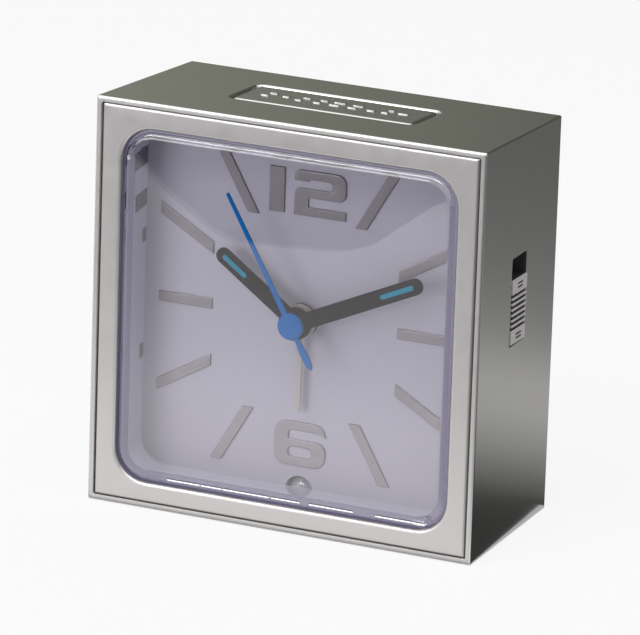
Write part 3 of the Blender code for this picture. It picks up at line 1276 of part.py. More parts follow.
def build_cover():
    """The back: a plate with the battery bay, knob cups, buzzer ring and screw seats."""
    edge = CAVITY_HALF_WIDTH - GAP
    outline = rounded(-edge, edge, CASE_FLOOR + GAP, CAVITY_TOP - GAP, CASE_EDGE)
    door_hole = rectangle(DOOR_LEFT - GAP, DOOR_RIGHT + GAP, DOOR_BOTTOM - GAP, DOOR_TOP + GAP)
    screw_holes = [circle(CASE_SCREW_RADIUS + GAP, 12, place) for place in CASE_POSTS]
    slots = []
    for k in range(SOUND_SLOTS):
        step = (k - (SOUND_SLOTS - 1) / 2) * SOUND_SLOT_PITCH
        reach = math.sqrt((BUZZER_RADIUS - SOUND_SLOT_WIDTH) ** 2 - step**2)
        low = BUZZER_Z + step - SOUND_SLOT_WIDTH / 2
        slots.append(rectangle(BUZZER_X - reach, BUZZER_X + reach, low, low + SOUND_SLOT_WIDTH))
    holes = [door_hole, *screw_holes, *slots]
    plate = stacked([(outline, COVER_FRONT, COVER_BACK)], holes=holes)
    cover = add_piece("rear_cover", plate, "black_plastic")
    lap = COVER_FRONT + GAP
    wall = BAY_WALL
    bay_outer = rectangle(BAY_LEFT - wall, BAY_RIGHT + wall, BAY_BOTTOM - wall, BAY_TOP + wall)
    bay_inner = rectangle(BAY_LEFT, BAY_RIGHT, BAY_BOTTOM, BAY_TOP)
    join(cover, tray(bay_outer, bay_inner, BAY_FRONT - wall, BAY_FRONT, lap))
    cup_front = CUP_FACE - CUP_FLOOR
    stem = STEM_RADIUS + 2 * RUNNING_GAP
    mouth = CUP_RADIUS + GAP
    pocket = [
        (0.0, cup_front - GAP),
        (stem, cup_front - GAP),
        (stem, CUP_FACE),
        (CUP_RADIUS, CUP_FACE),
        (CUP_RADIUS, lap),
        (mouth, lap),
        (mouth, COVER_BACK + GAP),
        (0.0, COVER_BACK + GAP),
    ]
    for place in (TIME_AT, ALARM_AT):
        cup = stacked([(circle(CUP_RADIUS + CUP_WALL, 32), cup_front, lap)])
        join(cover, moved(cup, at_axis(place)))
        cut(cover, moved(turned(pocket, 32), at_axis(place)))
    ring_inner = BUZZER_RADIUS + GAP
    ring_front = COVER_FRONT - GAP - BUZZER_HEIGHT
    ring_outer = ring_inner + BUZZER_RING_WALL
    ring = [(ring_inner, ring_front), (ring_outer, ring_front), (ring_outer, lap), (ring_inner, lap)]
    join(cover, moved(turned(ring, 24), (BUZZER_X, 0.0, BUZZER_Z)))
    seat = COVER_FRONT + COVER_SCREW_SEAT
    seats = [circle(SCREW_SEAT_RADIUS, 20, place) for place in CASE_POSTS]
    cut(cover, merged([stacked([(outline, seat, COVER_BACK + COVER_THICK)]) for outline in seats]))
    pin_hole = circle(DOOR_PIN_RADIUS + RUNNING_GAP, 10, (HINGE_DEPTH, HINGE_Z))
    pin_reach = GAP + DOOR_PIN_LENGTH + GAP
    cut(cover, stacked([(pin_hole, DOOR_LEFT - pin_reach, DOOR_LEFT)], axis="X"))
    cut(cover, stacked([(pin_hole, DOOR_RIGHT, DOOR_RIGHT + pin_reach)], axis="X"))
    notch_half = DOOR_NOTCH_WIDTH / 2
    notch = (DOOR_TOP, DOOR_TOP + GAP + DOOR_NOTCH_HEIGHT)
    notch_depth = (COVER_BACK - DOOR_NOTCH_DEPTH, COVER_BACK + COVER_THICK)
    cut(cover, block((-notch_half, notch_half), notch_depth, notch))


def build_door():
    """The battery door: its lower edge is round about the hinge pins."""
    radius = DOOR_THICK / 2
    height = DOOR_TOP - HINGE_Z
    profile = [(radius, height), *arc((0.0, 0.0), radius, 90, 270, 6), (-radius, height)]
    middle = (DOOR_LEFT + DOOR_RIGHT) / 2
    half = (DOOR_RIGHT - DOOR_LEFT) / 2
    door = add_piece(
        "battery_door",
        stacked([(profile, -half, half)], axis="X"),
        "black_plastic",
        at=(middle, HINGE_DEPTH, HINGE_Z),
    )
    pin = circle(DOOR_PIN_RADIUS, 10)
    for side in (-1, 1):
        reach = sorted((side * (half - DOOR_PIN_LENGTH), side * (half + GAP + DOOR_PIN_LENGTH)))
        join(door, stacked([(pin, *reach)], axis="X"))
    groove_depth = (radius - DOOR_GROOVE_DEPTH, 2 * radius)
    groove_z = (height - 2 * DOOR_GROOVE_HEIGHT, height - DOOR_GROOVE_HEIGHT)
    for k in range(DOOR_GROOVES):
        x = (k - (DOOR_GROOVES - 1) / 2) * DOOR_GROOVE_PITCH
        cut(door, block((x - DOOR_GROOVE_WIDTH / 2, x + DOOR_GROOVE_WIDTH / 2), groove_depth, groove_z))


def build_battery():
    cell = [
        (0.0, 0.0),
        (CELL_RADIUS, 0.0),
        (CELL_RADIUS, CELL_BODY),
        (CELL_NUB_RADIUS, CELL_BODY),
        (CELL_NUB_RADIUS, CELL_BODY + CELL_NUB),
        (0.0, CELL_BODY + CELL_NUB),
    ]
    add_piece("aa_battery", turned(cell, 32, axis="X"), "cell_wrap", at=(CELL_LEFT, CELL_DEPTH, CELL_MIDDLE))
    plate_x = CELL_LEFT + CELL_BODY + CELL_NUB + GAP
    half = CELL_RADIUS - BAY_WALL
    plate_depth = (CELL_DEPTH - half, CELL_DEPTH + half)
    plate_z = (CELL_MIDDLE - half, CELL_MIDDLE + half)
    plate = block((plate_x, plate_x + CONTACT_THICK), plate_depth, plate_z)
    add_piece("battery_plus_contact", plate, "steel")
    start = BAY_LEFT + GAP + MINUS_WIRE
    end = CELL_LEFT - GAP - MINUS_WIRE
    points = helix(MINUS_RADIUS, MINUS_TIP_RADIUS, start, end, MINUS_TURNS, 9, "X")
    spring = tube_along(points, MINUS_WIRE, 5)
    add_piece("battery_minus_spring", spring, "steel", at=(0.0, CELL_DEPTH, CELL_MIDDLE))


def build_knobs():
    flutes = []
    for k in range(KNOB_FLUTES):
        for radius, share in ((KNOB_RADIUS, 0.0), (KNOB_RADIUS, 0.5), (KNOB_RADIUS - KNOB_FLUTE_DEPTH, 0.75)):
            flutes.append(polar(radius, (k + share) * TAU / KNOB_FLUTES))
    start = CUP_FACE + GAP
    back = start + KNOB_THICK
    bore = STEM_RADIUS + RUNNING_GAP
    for name, place in (("time_set_knob", TIME_AT), ("alarm_set_knob", ALARM_AT)):
        levels = [(flutes, start, back), (circle(KNOB_GRIP_RADIUS, 24), back, back + KNOB_GRIP_THICK)]
        knob = add_piece(name, stacked(levels), "black_plastic", at=at_axis(place))
        cut(knob, stacked([(circle(bore, 12), start - GAP, back + GAP)]))


def screw(shank, head, head_thick, length, sides):
    """A screw driven forwards, with the back of its head at depth 0."""
    neck = -head_thick
    return stacked([(circle(shank, sides), neck - length, neck), (circle(head), neck, 0.0)])


def build_screws():
    half = SCREW_SLOT_WIDTH / 2
    arm = SCREW_SLOT_LENGTH / 2
    cross = [(-half, -arm), (half, -arm), (half, -half), (arm, -half), (arm, half), (half, half)]
    cross += [(-x, -z) for x, z in cross]
    for number, (x, z) in enumerate(CASE_POSTS, 1):
        body = screw(CASE_SCREW_RADIUS, SCREW_HEAD_RADIUS, SCREW_HEAD_THICK, CASE_SCREW_LENGTH, 10)
        piece = add_piece(f"case_screw_{number}", body, "steel", at=(x, COVER_BACK, z))
        cut(piece, stacked([(cross, -SCREW_SLOT_DEPTH, SCREW_HEAD_THICK)]))
    back = PLATE_FRONT + CARRIER_THICK + GAP + EAR_THICK + GAP + MOVEMENT_SCREW_HEAD_THICK
    for number, (x, z) in enumerate(movement_screw_places(), 1):
        body = screw(
            MOVEMENT_SCREW_RADIUS, MOVEMENT_SCREW_HEAD, MOVEMENT_SCREW_HEAD_THICK, MOVEMENT_SCREW_LENGTH, 8
        )
        add_piece(f"movement_screw_{number}", body, "steel", at=(x, back, z))


def build_snooze():
    """The bar in the top with its plunger and return springs; it travels straight down."""
    outline = rounded(-SNOOZE_HALF_WIDTH, SNOOZE_HALF_WIDTH, SNOOZE_FRONT, SNOOZE_BACK, SNOOZE_RADIUS)
    lap = SNOOZE_LAP
    flange_half = SNOOZE_HALF_WIDTH + lap
    flange = rounded(-flange_half, flange_half, SNOOZE_FRONT - lap, SNOOZE_BACK + lap, SNOOZE_RADIUS)
    levels = [(flange, SNOOZE_FLANGE_BOTTOM, SNOOZE_FLANGE_TOP), (outline, SNOOZE_FLANGE_TOP, CASE_HEIGHT)]
    body = stacked(levels, axis="Z")
    upper = [vert for vert in body.verts if vert.co.z > (SNOOZE_FLANGE_TOP + CASE_HEIGHT) / 2]
    for vert in upper:
        vert.co.z = case_top(vert.co.y) - SNOOZE_SET
    rim = [edge for edge in body.edges if edge.verts[0] in upper and edge.verts[1] in upper]
    rim = [edge for edge in rim if edge.calc_face_angle() > math.radians(60)]
    bmesh.ops.bevel(body, geom=rim, offset=SNOOZE_EDGE, segments=2, profile=0.5, affect="EDGES")
    bar = add_piece("snooze_bar", body, "case_metal")
    tact_top = BOARD_TOP + GAP + TACT_HEIGHT
    plunger_top = tact_top + TACT_PLUNGER_RISE
    stem = circle(SNOOZE_STEM_RADIUS, 12, (0.0, SNOOZE_MIDDLE))
    rooted = SNOOZE_FLANGE_BOTTOM + SNOOZE_FLANGE_THICK / 2
    join(bar, stacked([(stem, plunger_top + GAP, rooted)], axis="Z"))
    plunger_foot = tact_top - TACT_BORE_DEPTH + SNOOZE_TRAVEL + GAP
    plunger = circle(TACT_PLUNGER_RADIUS, 14, (0.0, SNOOZE_MIDDLE))
    add_piece("snooze_plunger", stacked([(plunger, plunger_foot, plunger_top)], axis="Z"), "black_plastic")
    low = SPRING_ARM_TOP + GAP + SNOOZE_SPRING_WIRE
    high = SNOOZE_FLANGE_BOTTOM - GAP - SNOOZE_SPRING_WIRE
    turns = int((high - low) / SNOOZE_SPRING_PITCH)
    for name, side in (("snooze_spring_left", -1), ("snooze_spring_right", 1)):
        points = helix(SNOOZE_SPRING_RADIUS, SNOOZE_SPRING_RADIUS, low, high, turns, 8, "Z")
        spring = tube_along(points, SNOOZE_SPRING_WIRE, 5)
        add_piece(name, spring, "steel", at=(side * SNOOZE_SPRING_OFFSET, SNOOZE_MIDDLE, 0.0))


def build_board():
    """The circuit board on the carrier's shelves, and what is soldered to it."""
    front_edge = PLATE_BACK + GAP
    board_depth = (front_edge, front_edge + BOARD_LENGTH)
    middle = SNOOZE_MIDDLE
    board_x = (-BOARD_HALF_WIDTH, BOARD_HALF_WIDTH)
    add_piece("circuit_board", block(board_x, board_depth, (BOARD_TOP - BOARD_THICK, BOARD_TOP)), "board")
    seat = BOARD_TOP + GAP
    half = TACT_SIZE / 2
    bore = circle(TACT_PLUNGER_RADIUS + RUNNING_GAP, 14, (0.0, middle))
    body = block((-half, half), (middle - half, middle + half), (seat, seat + TACT_HEIGHT))
    tact = add_piece("snooze_switch", body, "black_plastic")
    top = seat + TACT_HEIGHT
    cut(tact, stacked([(bore, top - TACT_BORE_DEPTH, top + GAP)], axis="Z"))
    shoulder = seat + CHIP_HEIGHT - CHIP_ROUND
    blob = [(0.0, seat), (CHIP_RADIUS, seat), (CHIP_RADIUS - CHIP_ROUND, shoulder), (0.0, seat + CHIP_HEIGHT)]
    add_piece("control_chip", turned(blob, axis="Z"), "black_plastic", at=(-CHIP_OFFSET, middle, 0.0))
    can = circle(CRYSTAL_RADIUS, 12, (middle, seat + CRYSTAL_RADIUS))
    can_left = CRYSTAL_OFFSET - CRYSTAL_LENGTH / 2
    crystal = stacked([(can, can_left, can_left + CRYSTAL_LENGTH)], axis="X")
    add_piece("quartz_crystal", crystal, "steel")
    back = COVER_FRONT - GAP
    front_face = back - BUZZER_HEIGHT
    buzzer = [
        (0.0, front_face),
        (BUZZER_RADIUS, front_face),
        (BUZZER_RADIUS, back),
        (BUZZER_HOLE, back),
        (BUZZER_HOLE, back - BUZZER_HOLE),
        (0.0, back - BUZZER_HOLE),
    ]
    add_piece("buzzer", turned(buzzer, 24), "black_plastic", at=(BUZZER_X, 0.0, BUZZER_Z))


def build_alarm_switch():
    """The slider in the side slot, at the bottom of its travel, and the switch that it works."""
    bottom = SLOT_BOTTOM + SLIDER_GAP
    top = bottom + SLIDER_LENGTH
    travel = SLOT_TOP - SLIDER_GAP - top
    face = case_side(SLOT_MIDDLE) + SLIDER_PROUD
    root = SLIDER_PLATE_LEFT + SLIDER_PLATE / 2
    ridge_low = (bottom + top - (SLIDER_RIDGES - 0.5) * SLIDER_RIDGE_PITCH) / 2
    profile = [(root, bottom), (face, bottom)]
    valley = face - SLIDER_RIDGE_DEPTH
    for k in range(SLIDER_RIDGES):
        z = ridge_low + k * SLIDER_RIDGE_PITCH
        ridge = z + SLIDER_RIDGE_PITCH / 2
        profile += [(face, z), (valley, z), (valley, ridge), (face, ridge)]
    profile += [(face, top), (root, top)]
    slider = add_piece(
        "alarm_slider", stacked([(profile, SLOT_FRONT + SLIDER_GAP, SLOT_BACK - SLIDER_GAP)]), "grey_plastic"
    )
    plate_z = (SLOT_BOTTOM - SLIDER_PLATE_LAP - travel, SLOT_TOP + SLIDER_PLATE_LAP)
    plate_depth = (SLOT_FRONT - SLIDER_PLATE_LAP, SLOT_BACK + SLIDER_PLATE_LAP)
    join(slider, block((SLIDER_PLATE_LEFT, SLIDER_PLATE_RIGHT), plate_depth, plate_z))
    left = SWITCH_LEFT
    middle = SLOT_MIDDLE
    switch_z = (SLOT_BOTTOM + SLOT_TOP) / 2
    depth = (middle - SWITCH_DEPTH / 2, middle + SWITCH_DEPTH / 2)
    height = (switch_z - SWITCH_HEIGHT / 2, switch_z + SWITCH_HEIGHT / 2)
    add_piece("alarm_switch", block((left, left + SWITCH_THICK), depth, height), "steel")
    nub_left = left + SWITCH_THICK + GAP
    half = ACTUATOR_SIZE / 2
    nub_z = (bottom + top) / 2
    nub_x = (nub_left, nub_left + ACTUATOR_LENGTH)
    nub = block(nub_x, (middle - half, middle + half), (nub_z - half, nub_z + half))
    add_piece("switch_actuator", nub, "white_plastic")


clear_scene()
materials = make_looks()
front = add_empty("front_frame", (0.0, -CASE_DEPTH / 2, 0.0))
build_case()
build_bezel()
build_lens()
build_dial()
build_lamp()
build_carrier()
build_movement_case()
build_wheels()
build_motor()
build_hands()
build_cover()
build_door()
build_battery()
build_knobs()
build_screws()
build_snooze()
build_board()
build_alarm_switch()
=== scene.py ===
"""Looks of the small square alarm clock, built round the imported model.

Units are metres, +Z is up and the dial faces -Y. "Depth" is the distance behind the case's
front edge, and "clockwise" is as seen from the front.
"""

import math

import bmesh
import bpy
from mathutils import Matrix, Vector


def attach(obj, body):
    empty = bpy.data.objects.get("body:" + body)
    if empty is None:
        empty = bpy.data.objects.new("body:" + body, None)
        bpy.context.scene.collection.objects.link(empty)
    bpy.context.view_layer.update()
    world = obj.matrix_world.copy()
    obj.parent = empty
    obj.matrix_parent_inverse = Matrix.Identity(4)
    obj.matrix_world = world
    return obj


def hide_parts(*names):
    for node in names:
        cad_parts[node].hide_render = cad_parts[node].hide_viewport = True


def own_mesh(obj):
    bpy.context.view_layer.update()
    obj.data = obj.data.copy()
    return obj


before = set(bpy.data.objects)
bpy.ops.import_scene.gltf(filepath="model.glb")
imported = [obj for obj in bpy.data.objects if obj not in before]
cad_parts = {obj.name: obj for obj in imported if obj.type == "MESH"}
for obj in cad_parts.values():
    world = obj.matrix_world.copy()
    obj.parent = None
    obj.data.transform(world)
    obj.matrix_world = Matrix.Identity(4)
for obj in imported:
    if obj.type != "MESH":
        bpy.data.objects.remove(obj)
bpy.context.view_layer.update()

MM = 0.001

# Case
CASE_DEPTH = 36.5 * MM
FRONT_Y = -CASE_DEPTH / 2
CASE_HALF = 37.5 * MM
CASE_TOP = 75.0 * MM
TOP_FALL = 1.7 * MM
SIDE_TAPER = 1.1 * MM
CASE_EDGE = 0.45 * MM
CASE_BACK_EDGE = 0.3 * MM
CASE_CORNER = 0.3 * MM
INNER_CORNER = 0.4 * MM
# The rebate holds the bezel, and lies in front of the cavity's ledge
REBATE_HALF = 36.45 * MM
REBATE_LOW = 1.05 * MM
REBATE_HIGH = 73.95 * MM
REBATE_CHAMFER = 0.08 * MM
LEDGE = 3.2 * MM
LIP_DEPTH = 0.7 * MM
CAVITY_HALF = 34.3 * MM
CAVITY_LOW = 2.0 * MM
CAVITY_HIGH = 71.2 * MM
CAVITY_CHAMFER = 0.1 * MM
BACK_RIM = 2.0 * MM

# Bezel and lens
BEZEL_HALF = 36.27 * MM
BEZEL_LOW = 1.13 * MM
BEZEL_HIGH = 73.91 * MM
BEZEL_THICK = 2.9 * MM
BEZEL_EDGE = 0.6 * MM
BEZEL_CORNER = 0.35 * MM
WINDOW_HALF = 32.3 * MM
WINDOW_LOW = 4.85 * MM
WINDOW_HIGH = 70.05 * MM
WINDOW_RADIUS = 6.0 * MM
WINDOW_LIP = 0.7 * MM
WINDOW_MIDDLE = (WINDOW_LOW + WINDOW_HIGH) / 2
POST_RADIUS = 1.3 * MM
POST_BORE = 0.75 * MM
POST_FRONT = 2.5 * MM
POST_BACK = 33.9 * MM
POST_FLOOR = 26.0 * MM
POST_INSET = 2.3 * MM
LENS_GAP = 0.13 * MM
LENS_FRONT = 0.1 * MM
LENS_PLATE = 1.8 * MM
LENS_EDGE = 1.7 * MM
LENS_INNER_EDGE = 0.2 * MM
LENS_WALL_FRONT = 1.85 * MM
LENS_WALL_BACK = 0.85 * MM
LENS_WALL_TOP = 1.2 * MM
LENS_BACK = 9.6 * MM
LENS_STEPS = 10
# The lens's sides take an opaque lilac with a painted glow from this share of its edge, and this
# far in from its outline
LENS_SIDE_START = 0.45
LENS_SIDE_REACH = 0.4 * MM
# Depths at which the lens's inner wall is cut, in mm, so that its painted patches have faces of
# their own
LENS_LEVELS = (7.4, 5.3, 3.0)
# Painted reflections as dark patches on the lens's left inner wall: low and high edges, near and
# far depths, in mm
PAINTED_WALL_SHADES = (
    (25.4, 28.2, 7.4, 9.6),
    (47.1, 49.7, 7.4, 9.6),
    (53.7, 56.9, 3.0, 9.6),
    (61.5, 64.8, 2.2, 9.6),
)
# Painted highlights along the lens's foot: left and right ends in mm. Each is a glowing white band
# of the rounded edge with a band of painted shade above it, given as shares of the edge's height.
PAINTED_FOOT_GLINTS = (
    (-21.8, -15.4),
    (-15.1, -11.2),
    (-10.9, -1.8),
    (-1.3, 4.2),
    (6.1, 14.6),
    (18.9, 28.4),
)
PAINTED_GLINT_BAND = (0.55, 0.69)
PAINTED_DARK_BAND = (0.69, 0.84)

# Dial
DIAL_DEPTH = 9.9 * MM
DIAL_THICK = 0.8 * MM
DIAL_BEVEL = 0.08 * MM
DIAL_GAP = 0.73 * MM
DIAL_CORNER = 5.2 * MM
DIAL_Z = 37.2 * MM
DIAL_HOLE = 2.97 * MM
MARKER_HEIGHT = 0.35 * MM
MARKER_SINK = 0.3 * MM
MARKER_BEVEL = 0.16 * MM
BAR_OUTER = 28.6 * MM
BAR_INNER = 18.0 * MM
BAR_WIDTH = 1.9 * MM
NUMERAL_WIDTH = 10.0 * MM
NUMERAL_HEIGHT = 8.3 * MM
TWELVE_BOTTOM = 18.9 * MM
SIX_BOTTOM = -27.55 * MM
ONE_WIDTH = 2.95 * MM
STEM = 2.75 * MM
STROKE = 1.65 * MM
NUMERAL_SPACE = 1.9 * MM
SIX_BOWL = 1.9 * MM
SIX_WAIST = 1.4 * MM

# Lamp
LAMP_RADIUS = 2.5 * MM
LAMP_TOP = 7.5 * MM
LAMP_SEAT = 3.3 * MM
LAMP_DEPTH = 12.4 * MM
LAMP_FLANGE = 0.4 * MM
LAMP_FLANGE_HEIGHT = 1.0 * MM
LAMP_FLANGE_EDGE = 0.1 * MM
ARCH_SIDE_GAP = 0.15 * MM
ARCH_TOP_GAP = 0.3 * MM
# Leads inside the lamp: radii and heights, in mm
LAMP_CUP = ((0.35, 3.6), (0.35, 4.9), (0.85, 5.5), (0.75, 5.5), (0.3, 5.1))
LAMP_CUP_X = -0.45 * MM
LAMP_POST = ((0.28, 3.6), (0.28, 5.3), (0.12, 5.6))
LAMP_POST_X = 0.85 * MM

# Hands: clockwise turns at ten past ten, and depths of their middles
SECOND_TURN = math.radians(330.0)
MINUTE_TURN = math.radians(65.5)
HOUR_TURN = math.radians(300.0 + 65.5 / 12)
ALARM_TURN = math.radians(180.0)
SECOND_DEPTH = 4.1 * MM
MINUTE_DEPTH = 5.3 * MM
HOUR_DEPTH = 6.5 * MM
ALARM_DEPTH = 8.3 * MM
HAND_HALF = 0.2 * MM
HAND_BEVEL = 0.07 * MM
HAND_WIDTH = 3.0 * MM
HAND_SLACK = 0.075 * MM
MINUTE_LENGTH = 26.9 * MM
MINUTE_BORE = 1.0 * MM
HOUR_LENGTH = 19.2 * MM
HOUR_BORE = 1.55 * MM
ALARM_LENGTH = 17.0 * MM
ALARM_WIDTH = 1.0 * MM
ALARM_BORE = 2.1 * MM
# Hubs: radius of the disc, and radius and reach of the flange behind it
HAND_HUB = (2.9 * MM, 2.7 * MM, 0.45 * MM)
ALARM_HUB = (2.2 * MM, 3.0 * MM, 0.65 * MM)
HUB_BEVEL = 0.05 * MM
# Lume strips: distances of their ends from the middle
MINUTE_STRIP = (18.3 * MM, 25.1 * MM)
HOUR_STRIP = (12.2 * MM, 17.8 * MM)
LUME_HALF = 0.45 * MM
LUME_CORNER = 0.4 * MM
LUME_THICK = 0.13 * MM
LUME_BEVEL = 0.06 * MM
LUME_RISE = 0.02 * MM
SECOND_LENGTH = 26.1 * MM
SECOND_WIDTH = 1.0 * MM
SECOND_TIP = 0.6 * MM
SECOND_DISC = 2.42 * MM
SECOND_CAP = 2.4 * MM
SECOND_CAP_SIDE = 0.35 * MM
SECOND_CAP_DOME = 0.45 * MM
SECOND_BOSS = 0.7 * MM
SECOND_BOSS_EDGE = 0.1 * MM
# The second hand's tail: half widths and distances from the middle, in mm
SECOND_TAIL = (
    (0.42, 0.0),
    (0.5, 3.6),
    (0.62, 4.8),
    (0.68, 6.0),
    (0.62, 7.1),
    (0.48, 7.9),
    (0.25, 8.35),
    (0.08, 8.5),
)

# Snooze bar and alarm slider
KEY_HALF = 17.7 * MM
KEY_FRONT = 13.1 * MM
KEY_BACK = 25.8 * MM
KEY_RADIUS = 1.3 * MM
KEY_MIDDLE = (KEY_FRONT + KEY_BACK) / 2
KEY_GAP = 0.25 * MM
KEY_SET = 0.05 * MM
KEY_EDGE = 1.0 * MM
KEY_HOLE_EDGE = 0.5 * MM
KEY_LAP = 1.25 * MM
KEY_FLANGE = 1.2 * MM
KEY_FLANGE_GAP = 0.3 * MM
STEM_RADIUS = 1.0 * MM
STEM_LOW = 64.0 * MM
STEM_SINK = 0.3 * MM
# Raised dashes on the bar: left, right, near and far edges in mm
SNOOZE_MARKS = (
    (-14.2, -12.6, 18.4, 19.2),
    (-13.4, -11.8, 20.6, 21.4),
    (-10.4, -9.0, 19.4, 20.3),
    (-7.6, -6.2, 18.4, 19.2),
    (-6.9, -5.3, 20.6, 21.4),
    (-4.0, -2.5, 18.4, 19.2),
    (-3.5, -2.0, 20.6, 21.4),
    (-0.9, 1.2, 18.4, 19.2),
    (-0.8, 1.5, 20.6, 21.4),
    (2.7, 4.5, 18.4, 19.2),
    (2.9, 5.0, 20.4, 21.4),
    (6.4, 8.0, 18.4, 19.2),
    (9.2, 10.6, 18.4, 19.2),
    (9.8, 11.0, 20.4, 21.4),
    (12.0, 14.1, 19.4, 20.3),
)
# Inward and upward steps up a dash's side, in mm
DASH_STEPS = ((0.0, -0.2), (0.0, 0.08), (0.03, 0.15), (0.1, 0.18))
DASH_CORNER = 0.22 * MM
SLOT_FRONT = 14.8 * MM
SLOT_BACK = 21.6 * MM
SLOT_LOW = 36.0 * MM
SLOT_HIGH = 52.2 * MM
SLOT_CORNER = 0.4 * MM
SLOT_EDGE = 0.05 * MM
SLOT_GAP = 0.3 * MM
HOLE_DEPTH = 6.0 * MM
TOOL_RISE = 2.0 * MM
SLIDER_LENGTH = 12.0 * MM
SLIDER_RISE = 0.35 * MM
SLIDER_ROOT = 33.5 * MM
SLIDER_EDGE = 0.2 * MM
SLIDER_BEVEL = 0.07 * MM
SLIDER_LAP = 1.4 * MM
SLIDER_PLATE = (33.0 * MM, 34.0 * MM)
SLIDER_PLATE_CORNER = 0.2 * MM
GROOVES = 7
GROOVES_HEIGHT = 6.5 * MM
GROOVE_PITCH = 1.0 * MM
# A groove's outline: depths below the slider's face and heights above the groove's foot, in mm
GROOVE_STEPS = ((0.06, -0.02), (0.35, 0.04), (0.35, 0.46), (0.06, 0.52), (0.0, 0.6))
# Marks above and below the grooves: distances from the slider's ends
SLIDER_MARKS = (1.0 * MM, 1.7 * MM)
MARK_SINK = 0.1 * MM
MARK_RISE = 0.06 * MM
MARK_CORNER = 0.04 * MM
MARK_BEVEL = 0.02 * MM
MARK_HALF_HEIGHT = 0.14 * MM
MARK_HALF_WIDTH = 1.1 * MM

# Springs under the snooze bar
COIL_OFFSET = 12.0 * MM
COIL_RADIUS = 1.7 * MM
COIL_WIRE = 0.25 * MM
COIL_LOW = 65.5 * MM
COIL_HIGH = 69.36 * MM
COIL_TURNS = 4
COIL_STEPS = 24

STEPS = 8
SLACK = 0.05 * MM
WIDE_SLACK = 0.25 * MM
SHARP_ANGLE = math.radians(32)
NODE_BEVEL = 0.08 * MM
NODE_BEVEL_ANGLE = math.radians(50)


def case_top(depth):
    return CASE_TOP - TOP_FALL * depth / CASE_DEPTH


def case_side(depth):
    return CASE_HALF - SIDE_TAPER * depth / CASE_DEPTH


def linear(red, green, blue):
    """Shader colour of a 0 to 255 screen colour."""
    parts = [value / 255 for value in (red, green, blue)]
    return [p / 12.92 if p <= 0.04045 else ((p + 0.055) / 1.055) ** 2.4 for p in parts]


# Materials


def surface(
    name,
    colour,
    roughness,
    metallic=0.0,
    grain=2.5,
    drift=0.06,
    relief=0.0,
    stretch=(1, 1, 1),
    **sockets,
):
    """A Principled material whose colour, gloss and relief follow fine noise.

    Grain is noise cells per mm, drift the share by which the colour varies, and relief in mm.
    """
    material = bpy.data.materials.new(name)
    material.use_nodes = True
    tree = material.node_tree
    shader = tree.nodes["Principled BSDF"]
    place = tree.nodes.new("ShaderNodeTexCoord")
    spread = tree.nodes.new("ShaderNodeMapping")
    spread.inputs["Scale"].default_value = stretch
    tree.links.new(place.outputs["Object"], spread.inputs["Vector"])

    def noise(scale, detail):
        node = tree.nodes.new("ShaderNodeTexNoise")
        node.inputs["Scale"].default_value = scale / MM
        node.inputs["Detail"].default_value = detail
        tree.links.new(spread.outputs["Vector"], node.inputs["Vector"])
        return node

    fine = noise(grain, 4.0)
    broad = noise(grain / 25, 2.0)
    tint = tree.nodes.new("ShaderNodeMix")
    tint.data_type = "RGBA"
    tint.inputs[6].default_value = (*[c * (1 - drift) for c in colour], 1.0)
    tint.inputs[7].default_value = (*[min(1.0, c * (1 + drift)) for c in colour], 1.0)
    blend = tree.nodes.new("ShaderNodeMath")
    blend.operation = "MULTIPLY_ADD"
    blend.inputs[1].default_value = 0.5
    tree.links.new(fine.outputs["Fac"], blend.inputs[0])
    half = tree.nodes.new("ShaderNodeMath")
    half.operation = "MULTIPLY"
    half.inputs[1].default_value = 0.5
    tree.links.new(broad.outputs["Fac"], half.inputs[0])
    tree.links.new(half.outputs[0], blend.inputs[2])
    tree.links.new(blend.outputs[0], tint.inputs[0])
    tree.links.new(tint.outputs[2], shader.inputs["Base Color"])
    gloss = tree.nodes.new("ShaderNodeMapRange")
    gloss.inputs["To Min"].default_value = roughness * 0.85
    gloss.inputs["To Max"].default_value = min(1.0, roughness * 1.15)
    tree.links.new(broad.outputs["Fac"], gloss.inputs["Value"])
    tree.links.new(gloss.outputs["Result"], shader.inputs["Roughness"])
    if relief:
        bump = tree.nodes.new("ShaderNodeBump")
        bump.inputs["Strength"].default_value = 1.0
        bump.inputs["Distance"].default_value = relief * MM
        tree.links.new(fine.outputs["Fac"], bump.inputs["Height"])
        tree.links.new(bump.outputs["Normal"], shader.inputs["Normal"])
    shader.inputs["Metallic"].default_value = metallic
    for socket, value in sockets.items():
        shader.inputs[socket.replace("_", " ")].default_value = value
    return material


def tint_glass(material, colour, density):
    """Colour that deepens with the length of the way through the piece."""
    tree = material.node_tree
    absorb = tree.nodes.new("ShaderNodeVolumeAbsorption")
    absorb.inputs["Color"].default_value = (*colour, 1.0)
    absorb.inputs["Density"].default_value = density
    tree.links.new(absorb.outputs[0], tree.nodes["Material Output"].inputs["Volume"])


def add_glow(material, colour, strength):
    shader = material.node_tree.nodes["Principled BSDF"]
    shader.inputs["Emission Color"].default_value = (*colour, 1.0)
    shader.inputs["Emission Strength"].default_value = strength


